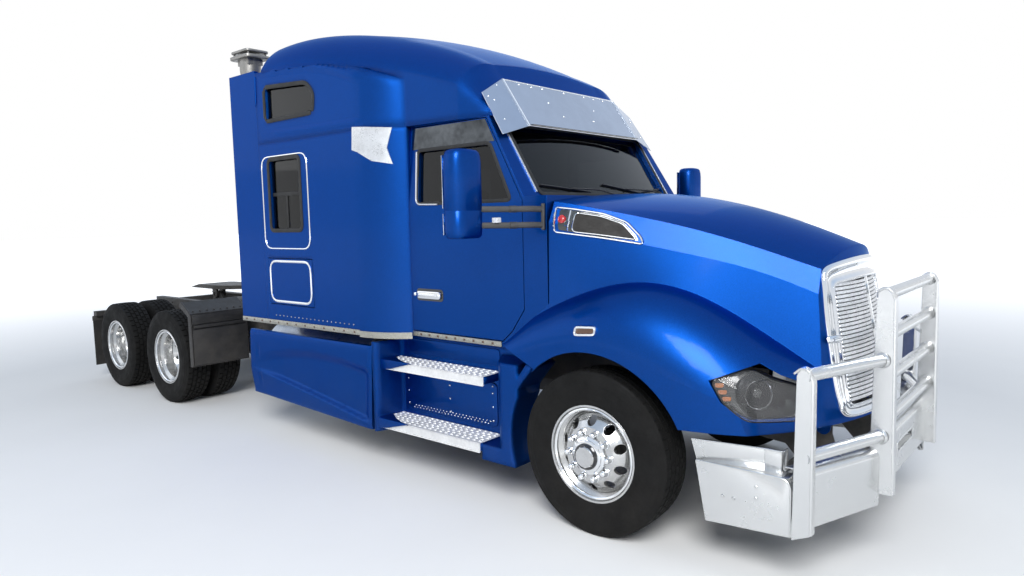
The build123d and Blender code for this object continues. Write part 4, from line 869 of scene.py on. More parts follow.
def build_wheel_trim():
    for side, name in SIDES:
        out = (0, side, 0)
        body, face = "front_wheel_" + name, side * FRONT_FACE
        hub = at(0, face, HUB_Z)
        bm = join(nut_covers(0.0, face, side, 0.050), lathe(FRONT_HUB, hub, out, 64),
                  lathe(RIM_BEAD, at(0, side * FRONT_BEAD, HUB_Z), out, 96))
        piece("front_nut_covers_" + name, bm, "chrome", body, "polished_aluminium")
        screws = round_hub(0, face + side * 0.054, 0.067, turns(6, 0.3))
        bm = join(lathe(OIL_CAP, hub, out, 48), studs(screws, out, 0.005, 0.004, 8))
        piece("front_oil_cap_" + name, bm, "gloss_black", body)
        plug = nut(at(0, face + side * 0.050, HUB_Z), out, 0.020, 0.0115)
        piece("front_cap_plug_" + name, plug, "cap_red", body)
        face = side * DRIVE_FACE
        for x, wheel in drive_wheels(name):
            screws = round_hub(x, face + side * 0.128, 0.066, turns(8, 0.2))
            bm = join(nut_covers(x, face, side, 0.055), lathe(DRIVE_FLANGE, at(x, face, HUB_Z), out, 56),
                      studs(screws, out, 0.008, 0.006, 10), lathe(RIM_BEAD, at(x, side * DRIVE_BEAD, HUB_Z), out, 96))
            piece("drive_nut_covers_" + wheel, bm, "chrome", "drive_wheels_" + wheel, "polished_aluminium")


class TRACTOR_OT_wheel_trim(bpy.types.Operator):
    """Builds the nut covers, hub rings, rim beads and oil caps"""

    bl_idname = "tractor.wheel_trim"
    bl_label = "Wheel trim"

    def execute(self, context):
        build_wheel_trim()
        return {"FINISHED"}


# ---------------------------------------------------------------- steps and lower body
TREAD_ENDS, TREAD_BACK, TREAD_COLUMNS = (-1.952, -0.888), -0.962, 19
TREAD_LIP = (
    (0.006, 0.0025), (-0.003, 0.0025), (-0.008, -0.003), (-0.008, -0.060), (-0.002, -0.066), (0.006, -0.066),
    (0.006, -0.060), (0.0, -0.057), (0.0, -0.004), (0.006, -0.002),
)
TREAD_GRIP = ((0.0, 0.0), (0.0, 0.013), (0.004, 0.0105), (0.004, 0.0075), (0.001, 0.006), (0.001, 0.0))
STEP_DOOR_BACK, STEP_DOOR_Y = -0.959, -0.968
# the front edge and the top of each step, and how many rows of grips it has
STEPS = ((-1.154, 0.8625, 5), (-1.204, 0.4125, 6))


def tread_plate(edge, z, rows):
    """A bmesh of an aluminium tread: a plate, a rolled lip and raised oval grips."""
    x0, x1 = TREAD_ENDS
    plan = ((x0, TREAD_BACK), (x0, edge + 0.004), (x1, edge + 0.004), (x1, TREAD_BACK))
    bm = join(slab(plan, lambda a, b: at(a, b, z - 0.002), (0, 0, 0.0035), 0.001, 1),
              sweep([at(x0, edge, z), at(x1, edge, z)], TREAD_LIP))
    origin = at(0, 0, 0)
    for column in range(TREAD_COLUMNS):
        for row in range(rows):
            x = x0 + (x1 - x0) * (column + 0.5 + 0.25 * (row % 2)) / (TREAD_COLUMNS + 0.25)
            y = TREAD_BACK - 0.190 * (row + 0.5) / 5
            if y - 0.016 < edge:
                continue
            grip = lathe(TREAD_GRIP, origin, UP, 10)
            bmesh.ops.transform(grip, matrix=Matrix.Diagonal((1.35, 0.8, 1, 1)), space=Matrix.Translation(-origin),
                                verts=grip.verts)
            bmesh.ops.translate(grip, vec=at(x, y, z + 0.0015) - origin, verts=grip.verts)
            add(bm, grip)
    return bm


def build_steps():
    def treads():
        return join(*(tread_plate(*step) for step in STEPS))

    def step_door():
        return join(side_slab(rounded(box(-1.90, 0.455, -0.93, 0.775), 0.05), STEP_DOOR_BACK, STEP_DOOR_Y, 0.004),
                    side_slab(rounded(box(-1.84, 0.90, -0.90, 1.02), 0.03), STEP_DOOR_BACK, -0.966, 0.003))

    def door_studs():
        large = [at(x, STEP_DOOR_Y, z) for x in (-1.86, -1.40, -0.97) for z in (0.50, 0.60, 0.70, 0.75)]
        small = [at(-1.80 + 0.034 * i + 0.017 * k, STEP_DOOR_Y, 0.475 + 0.018 * k) for i in range(24) for k in (0, 1)]
        return join(studs(large, RIGHT, 0.008, 0.005, 10), studs(small, RIGHT, 0.006, 0.003, 8))

    def gussets():
        bm = bmesh.new()
        x = -1.954
        for edge, top, _ in STEPS:
            y, z = edge - 0.009, top + 0.001
            plan = ((x, y - 0.001), (-1.60, y - 0.001), (-1.70, y + 0.020), (-1.82, y + 0.070), (x, y + 0.150))
            add(bm, slab(plan, lambda a, b: at(a, b, z), (0, 0, 0.008), 0.003))
            face = ((x, z - 0.070), (-1.86, z - 0.062), (-1.74, z - 0.030), (-1.60, z + 0.008), (x, z + 0.008))
            add(bm, side_slab(face, y + 0.004, y - 0.003, 0.002))
        return bm

    pair("step_gussets", gussets, "body_paint")
    pair("step_treads", treads, "tread_metal")
    pair("step_doors", step_door, "body_paint")
    pair("step_studs", door_studs, "polished_steel")


class TRACTOR_OT_steps(bpy.types.Operator):
    """Builds the step treads, the step door and its studs"""

    bl_idname = "tractor.steps"
    bl_label = "Steps"

    def execute(self, context):
        build_steps()
        return {"FINISHED"}


# ---------------------------------------------------------------- sun visor
VISOR_SLOPE = 0.675
VISOR_ROOT = Vector((1, 0, VISOR_SLOPE)).normalized()
VISOR_FOLD = ((-0.004, -0.002), (0.012, -0.002), (0.012, 0.004), (0.004, 0.008), (-0.004, 0.006))
VISOR_HALF, VISOR_LOW, VISOR_HIGH = 0.715, 2.566, 2.911
VISOR_RIVETS = (
    (-0.55, 2.893), (-0.275, 2.893), (0.0, 2.893), (0.275, 2.893), (0.55, 2.893), (-0.41, 2.89), (0.41, 2.89),
    (-0.30, 2.78), (0.30, 2.78), (-0.20, 2.68), (0.20, 2.68),
)
VISOR_END_RIVETS = ((0.93, 2.765), (0.895, 2.74), (0.90, 2.60), (0.80, 2.86))


def visor_front(y, z):
    """A point on the flat front of the visor."""
    return at(-0.741 - VISOR_SLOPE * (z - 2.488), y, z)


def build_visor():
    size = sizes().rivet_radius
    bm = studs([visor_front(*place) for place in VISOR_RIVETS], VISOR_ROOT, size, 0.006)
    tree = skin_of("sun_visor")
    for y, z in VISOR_END_RIVETS:
        for side, _ in SIDES:
            place = drop(tree, at(0.5, side * y, z), BACK)
            add(bm, stud(place, (0.80, side * 0.25, 0.54), size * 0.8, 0.005, 12))
    piece("visor_studs", bm, "chrome")

    bm = bmesh.new()
    for side, _ in SIDES:
        line = [visor_front(side * 0.716, z) for z in even(VISOR_LOW, 0.345, 10)]
        add(bm, sweep(line, [(a * side, b) for a, b in VISOR_FOLD], VISOR_ROOT))
    for z, radius in ((VISOR_LOW, 0.006), (VISOR_HIGH, 0.005)):
        add(bm, tube([visor_front(y, z) for y in even(-VISOR_HALF, 1.43, 20)], radius, 10))
    piece("visor_folds", bm, "chrome")

    bm = bmesh.new()
    for y in (-0.62, -0.37, -0.12, 0.12, 0.37, 0.62):
        top, low = visor_front(y, 2.80), visor_front(y, 2.60)
        behind, back = Vector((-0.012, 0, 0)), Vector((-0.20, 0, 0))
        corners = [low + behind, top + behind, top + back * 0.9, low + back]
        add(bm, loft(*([c + Vector((0, out, 0)) for c in corners] for out in (-0.003, 0.003))))
    # A thin gloss black strip along the visor's lower edge: painted shade that stands for the dark underside of the
    # visor.
    shade = [visor_front(y, 2.572) + Vector((-0.014, 0, 0)) for y in (-0.70, 0.70)]
    add(bm, sweep(shade, box(-0.012, -0.002, 0.05, 0.002)))
    piece("visor_brackets_and_painted_shade", bm, "gloss_black")


class TRACTOR_OT_visor(bpy.types.Operator):
    """Builds the visor's folded edges, studs and brackets, and a black strip of painted shade along its lower edge"""

    bl_idname = "tractor.visor"
    bl_label = "Sun visor trim"

    def execute(self, context):
        build_visor()
        return {"FINISHED"}


# ---------------------------------------------------------------- windows and cab trim
LOWER_WINDOW = box(-3.300, 1.880, -2.840, 2.470)
UPPER_WINDOW = ((-3.300, 2.810), (-2.620, 2.815), (-2.600, 2.960), (-2.700, 3.050), (-3.300, 3.090))
CORNER_PLATES = (
    ((-2.109, 2.644), (-1.771, 2.616), (-1.809, 2.468), (-2.065, 2.454), (-2.122, 2.473)),
    ((-2.065, 2.456), (-1.809, 2.470), (-1.774, 2.350), (-1.925, 2.379)),
)
# the two low ridges on the sleeper's side, from the back forward
RIDGE = ((-3.42, 3.215), (-3.060, 3.215), (-2.700, 3.180), (-2.415, 3.130), (-2.226, 3.070), (-1.9, 2.950))
CREASE = ((-3.42, 2.705), (-2.900, 2.690), (-2.519, 2.686), (-1.9, 2.672))
SLEEPER_Y, CAB_Y = -1.2205, -1.0505
LEAN = (1, 0, 0.6)
# wipers: where each blade starts and ends, as y and z
WIPERS = ((-0.30, -0.80, 2.105, 2.150), (0.42, -0.10, 2.105, 2.165), (0.36, 0.83, 2.11, 2.145))


def bead(outline, tree, corner, width, height):
    return side_line(rounded(outline, corner), tree, width, height)


def ridged_grid(tree):
    """A bmesh of the sleeper's side where its two ridges stand out of it."""
    bm = bmesh.new()
    cols, rows, sunk = 90, 48, -0.002
    grid = []
    for x in even(-3.42, 1.50, cols):
        top, low = height_at(RIDGE, x), height_at(CREASE, x)
        fade = ease((x + 3.42) / 0.30) * ease((-1.92 - x) / 0.20)
        line = []
        for z in even(2.62, 0.66, rows):
            rise = 0.016 * exp(-((z - top) / 0.036) ** 2) + 0.012 * exp(-((z - low) / 0.026) ** 2)
            rise = rise * fade + sunk
            line.append((bm.verts.new(from_side(tree, x, z, rise)), rise))
        grid.append(line)
    for a, b in zip(grid, grid[1:]):
        for k in range(rows):
            cell = (a[k], a[k + 1], b[k + 1], b[k])
            if max(c[1] for c in cell) > sunk + 0.0005:
                bm.faces.new([c[0] for c in cell])
    bmesh.ops.delete(bm, geom=[v for v in bm.verts if not v.link_faces], context="VERTS")
    return bm


def build_sleeper_sides():
    tree = skin_of("sleeper_shell", "roof_cap", "cab_shell")

    def outlines():
        return bead(box(-3.405, 1.715, -2.725, 2.505), tree, 0.10, sizes().trim_width * 0.6, 0.006)

    def seals():
        bm = bmesh.new()
        for outline in (LOWER_WINDOW, UPPER_WINDOW):
            grown = [Vector(p) for p in outline]
            middle = sum(grown, Vector((0, 0))) / len(grown)
            grown = [tuple(p + (p - middle).normalized() * 0.014) for p in grown]
            add(bm, bead(grown, tree, 0.05, 0.034, 0.007))
        add(bm, bars(((-3.29, -1.198, 2.165), (-2.85, -1.186, 2.195), 0.003),
                     ((-3.085, -1.198, 1.89), (-3.065, -1.186, 2.17), 0.003)))
        return bm

    def plates():
        return join(*(patch(plate, tree, 0.004, 0.012, 0.02) for plate in CORNER_PLATES))

    def relief():
        seam = ((-3.436, 3.200), (-3.480, 2.400), (-3.518, 1.130))
        rivets = [from_side(tree, -3.46 + 0.046 * k, 2.640) for k in range(30)]
        return join(ridged_grid(tree), side_line(seam, tree, 0.020, 0.009, 0.0, False, 0.02),
                    studs(rivets, RIGHT, 0.005, 0.0025, 8))

    def strips():
        long = ((-3.865, 1.038), (-2.115, 1.050), (-2.115, 1.092), (-3.865, 1.080))
        corner = [from_side(tree, x, 1.085, 0.004) for x in even(-2.115, 0.42, 14)]
        rivets = [at(-3.30 + 0.058 * i, SLEEPER_Y, 1.125) for i in range(20)]
        return join(side_slab(long, SLEEPER_Y, -1.229, 0.002), sweep(corner, box(0.0, -0.004, 0.048, 0.004), RIGHT),
                    side_slab(box(-1.690, 1.062, -0.800, 1.098), CAB_Y, -1.057, 0.002),
                    studs(rivets, RIGHT, 0.006, 0.003, 8))

    def strip_lamps():
        rows = []
        for i in range(13):
            x, z = -3.80 + 0.135 * i, 1.058 + 0.012 * i / 13
            rows.append(((x - 0.010, -1.232, z - 0.007), (x + 0.010, -1.2275, z + 0.009), 0.002))
        for i in range(9):
            x = -1.60 + 0.09 * i
            rows.append(((x - 0.009, -1.060, 1.072), (x + 0.009, -1.055, 1.088), 0.002))
        return bars(*rows)

    pair("sleeper_window_outline", outlines, "chrome")
    pair("sleeper_window_seals", seals, "rubber")
    pair("corner_plates", plates, "plate_steel", angle=40)
    pair("sleeper_relief", relief, "body_paint", angle=70)
    pair("lower_trim_strips", strips, "strip_metal")
    pair("strip_lamps", strip_lamps, "smoked_lens")
    door = skin_of("luggage_door_right")
    for side, name in SIDES:
        bm = on_side(bead(box(-3.355, 1.252, -2.745, 1.603), door, 0.09, 0.020, 0.005), side)
        piece("luggage_door_outline_" + name, bm, "chrome", "luggage_" + name)


def build_windscreen():
    front, pane = skin_of("cab_shell"), skin_of("cab_glass")
    outline = rounded(((-0.868, 2.082), (0.868, 2.082), (0.876, 2.572), (-0.876, 2.572)), 0.05)
    line = [from_front(front, *p, 0.002) for p in resampled(outline, 0.05)]
    bm = sweep(line, ((-0.016, -0.006), (0.016, -0.006), (0.016, 0.004), (0.0, 0.009), (-0.016, 0.004)), LEAN, True)
    piece("windscreen_seal", bm, "rubber")
    lines = [[from_front(front, side * 0.896, z, 0.003) for z in even(2.10, 0.46, 12)] for side, _ in SIDES]
    bm = join(*(sweep(line, box(-0.008, -0.003, 0.008, 0.004), LEAN) for line in lines))
    piece("windscreen_side_trims", bm, "aluminium")
    bm = bmesh.new()
    for y0, y1, z0, z1 in WIPERS:
        blade = [from_front(pane, y, z, 0.012) for y, z in zip(even(y0, y1 - y0, 12), even(z0, z1 - z0, 12))]
        add(bm, sweep(blade, ((-0.006, -0.010), (0.006, -0.010), (0.004, 0.006), (-0.004, 0.006)), LEAN))
        pivot = from_front(front, y0 + 0.10, 2.070, 0.012)
        arm = [pivot, pivot.lerp(blade[5], 0.5) + Vector((0.030, 0, 0.020)), blade[5] + Vector((0.006, 0, 0.004))]
        add(bm, tube(smooth_path(arm), 0.006, 8))
        add(bm, stud(pivot, LEAN, 0.016, 0.014))
    piece("wipers", bm, "black_plastic")


def build_windows():
    build_sleeper_sides()
    build_windscreen()


class TRACTOR_OT_windows(bpy.types.Operator):
    """Builds the window seals and trims, the wipers and the sleeper's bright strips"""

    bl_idname = "tractor.windows"
    bl_label = "Windows and trim"

    def execute(self, context):
        build_windows()
        return {"FINISHED"}


UPPER_PANEL = ((-1.668, 2.446), (-0.852, 2.446), (-0.944, 2.602), (-1.668, 2.602))
DOOR_PANE = ((-1.604, 2.048), (-0.694, 2.048), (-0.897, 2.440), (-1.612, 2.440))


def build_doors():
    tree = skin_of("door_right")
    for side, name in SIDES:
        def trim(label, bm, finish, angle=38.0):
            piece("door_%s_%s" % (label, name), on_side(bm, side), finish, "door_" + name, angle=angle)

        trim("upper_panel", patch(UPPER_PANEL, tree), "door_steel_painted_reflection", 25)
        trim("window_seal", bead(DOOR_PANE, tree, 0.04, 0.026, 0.006), "rubber")
        corner = smooth_path([Vector((-1.614, 2.43, 0)), Vector((-1.606, 2.046, 0)), Vector((-1.38, 2.040, 0))])
        trim("corner_trim", side_line([p.xy for p in corner], tree, 0.014, 0.010, 0.003, False), "aluminium")
        cup = rounded(box(-1.635, 1.335, -1.355, 1.425), 0.03)
        trim("handle_cup", patch(cup, tree, 0.002, 0.004, 0.02), "gloss_black")
        grip = slab(rounded(box(-1.62, 1.352, -1.37, 1.408), 0.024),
                    lambda a, b: from_side(tree, -1.5, b, 0.004) + Vector((a + 1.5, 0, 0)), (0, -0.016, 0), 0.005)
        bm = join(grip, bar((-1.60, -1.0745, 1.372), (-1.40, -1.0685, 1.388), 0.002),
                  stud(from_side(tree, -1.66, 1.38), RIGHT, 0.016, 0.006, 18))
        trim("handle", bm, "chrome")


class TRACTOR_OT_doors(bpy.types.Operator):
    """Builds what rides on each door: bright upper panel, its steel darkened by a painted dark reflection, window seal,
    handle
    """

    bl_idname = "tractor.doors"
    bl_label = "Doors"

    def execute(self, context):
        build_doors()
        return {"FINISHED"}


# ---------------------------------------------------------------- mirrors
MIRROR_X, MIRROR_Y = -0.690, -1.500
MIRROR_ROWS = (
    (1.812, 0.80), (1.818, 0.90), (1.832, 0.965), (1.86, 0.99), (1.972, 1.0), (1.976, 0.975), (1.982, 0.975),
    (1.986, 1.0), (2.27, 0.995), (2.305, 0.965), (2.330, 0.90), (2.343, 0.78), (2.349, 0.55),
)


def mirror_head():
    """A bmesh of one mirror housing with its groove and its round ends."""
    rings = []
    for z, share in MIRROR_ROWS:
        ring = []
        for t in turns(36):
            x = 0.080 * share * abs(cos(t)) ** 0.72 * (1 if cos(t) > 0 else -1)
            y = 0.123 * share * abs(sin(t)) ** 0.62 * (1 if sin(t) > 0 else -1)
            ring.append(at(MIRROR_X + x, MIRROR_Y + y, z))
        rings.append(ring)
    return loft(*rings)


def build_mirrors():
    def arms():
        bm = bmesh.new()
        flat = [(0.011 * cos(t), 0.019 * sin(t)) for t in turns(16)]
        sleeve = ((-0.022, 0.012), (-0.022, 0.0215), (0.022, 0.0215), (0.022, 0.012))
        for z in (1.885, 1.985):
            joint = at(-0.520, -1.235, z)
            line = [at(-0.420, -1.056, z - 0.004), at(-0.452, -1.140, z), joint, at(-0.672, -1.455, z + 0.004)]
            add(bm, sweep(smooth_path(line, 0.08), flat))
            add(bm, lathe(sleeve, joint, (0.57, 0.82, 0), 16))
        add(bm, bars(((-0.430, -1.071, 1.850), (-0.408, -1.0505, 2.018), 0.006, 3),
                     ((-0.648, -1.432, 1.872), (-0.632, -1.412, 2.020))))
        add(bm, studs([at(-0.419, -1.071, z) for z in (1.862, 2.006)], RIGHT, 0.007, 0.004, 10))
        return bm

    def glasses():
        x, half = MIRROR_X, 0.098
        return bars(*(((x - 0.0815, MIRROR_Y - half, low), (x - 0.076, MIRROR_Y + half, high), 0.003)
                      for low, high in ((1.995, 2.315), (1.835, 1.965))))

    pair("mirror_housings", mirror_head, "body_paint", replaces=["mirrors"])
    pair("mirror_arms", arms, "arm_grey")
    pair("mirror_glasses", glasses, "mirror_glass")
    pair("mirror_arm_lamps", lambda: bar((-0.600, -1.345, 1.902), (-0.560, -1.300, 1.935)), "white_lens")


class TRACTOR_OT_mirrors(bpy.types.Operator):
    """Builds the door mirrors: housings, glass and arms"""

    bl_idname = "tractor.mirrors"
    bl_label = "Mirrors"

    def execute(self, context):
        build_mirrors()
        return {"FINISHED"}


# ---------------------------------------------------------------- bonnet, grille and lamps
HOOD_VENT = (
    (-0.362, 1.992), (-0.259, 1.979), (-0.078, 1.945), (0.065, 1.890), (0.160, 1.800), (0.182, 1.756), (-0.060, 1.798),
    (-0.345, 1.838),
)
VENT_PANEL = (
    (-0.235, 1.955), (-0.085, 1.928), (0.045, 1.880), (0.125, 1.800), (0.130, 1.785), (-0.060, 1.815), (-0.235, 1.838),
)
SIDE_LAMP = ((-0.010, 0.0), (-0.010, 0.027), (0.006, 0.028), (0.012, 0.024), (0.017, 0.014), (0.018, 0.0))
FENDER_LAMP = ((-0.075, 1.232), (0.068, 1.245), (0.064, 1.286), (-0.072, 1.278))


def build_hood_trim():
    tree = skin_of("hood")
    shape = rounded(HOOD_VENT, 0.022)
    middle = Vector((-0.11, 1.87))
    inner = [tuple(middle + (Vector(p) - middle) * 0.90) for p in shape]
    marker = rounded(FENDER_LAMP, 0.018)

    def frames():
        return join(side_line(shape, tree, 0.012, 0.012),
                    side_line(rounded(VENT_PANEL, 0.03), tree, 0.008, 0.010, 0.003),
                    side_line(((-0.268, 1.966), (-0.262, 1.842)), tree, 0.010, 0.009, 0.002, False))

    pair("hood_vent_beds", lambda: patch(inner, tree, 0.002, 0.006, 0.02), "vent_steel_painted_reflection", "hood", angle=30)
    pair("hood_vent_panels", lambda: patch(rounded(VENT_PANEL, 0.02), tree, 0.006, 0.002, 0.02), "vent_grey", "hood",
         angle=30)
    pair("hood_vent_frames", frames, "chrome", "hood")
    pair("hood_side_lamps", lambda: lathe(SIDE_LAMP, from_side(tree, -0.312, 1.915), (0, -0.94, 0.34), 24), "red_lens",
         "hood")
    pair("fender_lamp_lenses", lambda: patch(marker, tree, 0.012, 0.006, 0.015), "smoked_lens", "hood")
    pair("fender_lamp_frames", lambda: side_line(marker, tree, 0.020, 0.016), "chrome", "hood")


class TRACTOR_OT_hood_trim(bpy.types.Operator):
    """Builds the bonnet's side vents and the fender marker lamps"""

    bl_idname = "tractor.hood_trim"
    bl_label = "Bonnet trim"

    def execute(self, context):
        build_hood_trim()
        return {"FINISHED"}


GRILLE_LOW, GRILLE_HIGH, GRILLE_BARS = 0.862, 1.522, 29
CATCH_Z = 1.215
NOSE_RADIUS = 1.6


def nose(y, z, out=0.0):
    """A point on the bonnet's leaning, curved nose."""
    return at(1.180 + (1.610 - z) * 0.184 - (NOSE_RADIUS - sqrt(NOSE_RADIUS ** 2 - y ** 2)) + out, y, z)


def grille_half(z, inset):
    return 0.475 - 0.040 * (z - 0.79) / 0.81 - inset


# the bright frame's outer edge on the bonnet, and its inner edge as (y, z), from the bottom up the right-hand side
FRAME_OUTER = (
    (1.333, 0.0, 0.776), (1.315, -0.240, 0.776), (1.280, -0.410, 0.778), (1.248, -0.505, 0.788),
    (1.229, -0.545, 0.820), (1.219, -0.556, 0.862), (1.194, -0.562, 0.974), (1.173, -0.557, 1.109),
    (1.154, -0.550, 1.219), (1.132, -0.540, 1.356), (1.114, -0.523, 1.492), (1.101, -0.504, 1.580),
    (1.110, -0.460, 1.618), (1.133, -0.363, 1.640), (1.162, -0.175, 1.657), (1.170, 0.0, 1.661),
)
FRAME_INNER = (
    (0.0, 0.850), (-0.220, 0.850), (-0.370, 0.850), (-0.435, 0.853), (-0.459, 0.866), (-0.468, 0.890),
    (-0.466, 0.975), (-0.461, 1.105), (-0.455, 1.215), (-0.447, 1.345), (-0.437, 1.450), (-0.427, 1.498),
    (-0.400, 1.516), (-0.310, 1.521), (-0.150, 1.528), (0.0, 1.531),
)
FRAME_SECTION = (
    (0.0, -0.012), (0.0, 0.004), (0.04, 0.014), (0.12, 0.021), (0.22, 0.021), (0.34, 0.013), (0.50, 0.006),
    (0.66, 0.003), (0.76, 0.005), (0.82, 0.012), (0.90, 0.017), (0.96, 0.015), (1.0, 0.008), (1.0, -0.018),
)


def curve_through(points, parts=6):
    """Points of a smooth curve through the given ones."""
    points = [Vector(p) for p in points]
    out = []
    for i in range(len(points) - 1):
        a, b, c, d = points[max(i - 1, 0)], points[i], points[i + 1], points[min(i + 2, len(points) - 1)]
        for k in range(parts):
            t = k / parts
            out.append(0.5 * (2 * b + (c - a) * t + (2 * a - 5 * b + 4 * c - d) * t * t
                              + (3 * b - a - 3 * c + d) * t * t * t))
    return out + [points[-1]]


def frame_edges():
    """The frame's outer and inner edges, all the way round."""
    outer = curve_through([at(*p) for p in FRAME_OUTER])
    inner = curve_through([nose(y, z, 0.004) for y, z in FRAME_INNER])
    flip = Vector((1, -1, 1))
    outer += [p * flip for p in reversed(outer[1:-1])]
    inner += [p * flip for p in reversed(inner[1:-1])]
    return outer, inner


def build_grille():
    tall = GRILLE_HIGH - GRILLE_LOW
    heights = [GRILLE_LOW + tall * (i + 0.5) / GRILLE_BARS for i in range(GRILLE_BARS)]
    slat = ((-0.008, 0.0085), (0.001, 0.0085), (0.0070, -0.0060), (0.0050, -0.0085), (-0.008, -0.0050))

    def across(z, inset, out=0.0):
        half = grille_half(z, inset)
        return [nose(y, z, out) for y in even(-half, 2 * half, 20)]

    bm = join(*(sweep(across(z, 0.022), slat) for z in heights))
    piece("grille_louvres", bm, "grille_metal", "hood", replaces=["grille_bars"])

    beads = [nose(side * grille_half(z, 0.024), z, 0.004) for z in heights for side, _ in SIDES]
    post = ((-0.022, -0.012), (-0.022, 0.008), (-0.014, 0.014), (0.014, 0.014), (0.022, 0.008), (0.022, -0.012))
    line = [nose(0.0, z) for z in even(GRILLE_LOW - 0.01, tall + 0.02, 12)]
    bm = join(studs(beads, (1, 0, 0.18), 0.0088, 0.007, 10), sweep(line, post, AHEAD))
    piece("grille_beads", bm, "chrome", "hood")

    bm = bmesh.new()
    rows = [[bm.verts.new(p) for p in across(z, 0.018, -0.0165)] for z in even(GRILLE_LOW - 0.01, tall + 0.02, 14)]
    skin(bm, rows, closed_ring=False)
    bmesh.ops.solidify(bm, geom=bm.faces[:], thickness=0.003)
    piece("grille_screen", bm, "gloss_black", "hood")

    outer, inner = frame_edges()
    count = len(outer)
    bm = bmesh.new()
    rings, lifts = [], []
    for i in range(count):
        over = inner[i] - outer[i]
        lift = (outer[(i + 1) % count] - outer[i - 1]).cross(over).normalized()
        lifts.append(lift if lift.x > 0 else -lift)
        rings.append([bm.verts.new(outer[i] + over * t + lifts[i] * h) for t, h in FRAME_SECTION])
    skin(bm, rings, closed_row=True)
    for i in range(count):
        if abs(outer[i].z - CATCH_Z) < 0.012:
            line = [outer[i].lerp(inner[i], t) + lifts[i] * h for t, h in (
                (0.06, 0.004), (0.10, 0.014), (0.5, 0.012), (0.86, 0.010), (0.92, 0.002))]
            add(bm, tube(line, 0.022, up=(0.1, 0.1, 1)))
    piece("grille_frame", bm, "chrome", "hood", replaces=["grille_surround"], angle=50)


class TRACTOR_OT_grille(bpy.types.Operator):
    """Builds the grille's louvres, its toothed border and the bright frame"""

    bl_idname = "tractor.grille"
    bl_label = "Grille"

    def execute(self, context):
        build_grille()
        return {"FINISHED"}


HEADLAMP = ((0.740, 1.045), (0.900, 1.100), (1.098, 0.985), (1.108, 0.815), (0.920, 0.832), (0.815, 0.925))
HEADLAMP_TRAY = ((0.850, 1.045), (0.905, 1.078), (1.086, 0.972), (1.098, 0.832), (0.930, 0.850), (0.865, 0.930))
HEADLAMP_BOWL = (
    (-0.055, 0.0), (-0.055, 0.038), (-0.030, 0.058), (0.000, 0.072), (0.012, 0.077), (0.014, 0.080), (0.010, 0.083),
    (-0.030, 0.064), (-0.060, 0.040),
)
HEADLAMP_AIM, HEADLAMP_SUNK = (0.80, -0.58, 0.05), -0.048
# the two lamps behind each cover: x, z and size
HEADLAMP_EYES = ((0.930, 0.968, 1.0), (1.042, 0.905, 0.86))


def build_headlamps():
    tree = skin_of("hood", "headlamps")
    shape, tray = rounded(HEADLAMP, 0.035), rounded(HEADLAMP_TRAY, 0.04)

    def turned(profile, x, z, steps):
        return lathe(profile, from_side(tree, x, z, HEADLAMP_SUNK), HEADLAMP_AIM, steps)

    def bowls():
        bm = bmesh.new()
        for x, z, size in HEADLAMP_EYES:
            add(bm, turned([(a * size, r * size) for a, r in HEADLAMP_BOWL], x, z, 36))
            for radius, out in ((0.056, -0.026), (0.066, -0.010)):
                ring = [(out * size + 0.003 * sin(t), (radius + 0.003 * cos(t)) * size) for t in turns(8)]
                add(bm, turned(ring + ring[:1], x, z, 36))
        return bm

    def eyes():
        ball = [(0.036 * sin(t) - 0.030, 0.048 * cos(t)) for t in quarter(8)]
        return join(*(turned([(-0.050, 0.0), (-0.050, 0.048 * size)] + [(a, r * size) for a, r in ball], x, z, 28)
                      for x, z, size in HEADLAMP_EYES))

    def ambers():
        bm = bmesh.new()
        for x, z in ((0.772, 1.020), (0.790, 0.986), (0.812, 0.952)):
            mark = ((x - 0.016, z + 0.011), (x + 0.024, z + 0.012), (x + 0.026, z - 0.010), (x - 0.013, z - 0.011))
            add(bm, patch(rounded(mark, 0.008), tree, -0.014, 0.018, 0.015))
        return bm

    pair("headlamp_bezels", lambda: patch(shape, tree, -0.055, 0.004), "gloss_black", "hood", replaces=["headlamps"],
         angle=30)
    pair("headlamp_trays", lambda: patch(tray, tree, -0.046, 0.010), "lamp_tray", "hood", angle=30)
    pair("headlamp_reflectors", bowls, "lamp_reflector", "hood")
    pair("headlamp_projectors", eyes, "lamp_glass", "hood")
    pair("headlamp_amber_markers", ambers, "amber_lens", "hood")
    pair("headlamp_covers", lambda: patch(shape, tree, 0.001, 0.001, 0.02), "lamp_glass", "hood", slot="window_glass",
         angle=30)
    pair("headlamp_rims", lambda: side_line(shape, tree, 0.007, 0.003), "gloss_black", "hood")


class TRACTOR_OT_headlamps(bpy.types.Operator):
    """Builds each headlamp: clear cover, dark bowl, reflectors and amber markers"""

    bl_idname = "tractor.headlamps"
    bl_label = "Headlamps"

    def execute(self, context):
        build_headlamps()
        return {"FINISHED"}


# ---------------------------------------------------------------- front guard and bumper
OUTER_POST, INNER_POST = (1.2225, -1.122), (1.4405, -0.5745)
SIDE_TUBES, FRONT_TUBES = (0.720, 1.130), (0.810, 1.035, 1.260, 1.485)
FRONT_TUBE_X = 1.4425
FLANGE = ((-0.010, -0.009), (-0.010, 0.038), (0.0, 0.040), (0.0, -0.011))
COLLAR = ((-0.014, 0.033), (-0.014, 0.036), (-0.004, 0.042), (0.0, 0.042), (0.0, 0.033))
# half the slot in the front sheet, its bottom and its top
GUARD_SLOT = (0.19, 0.540, 0.600)


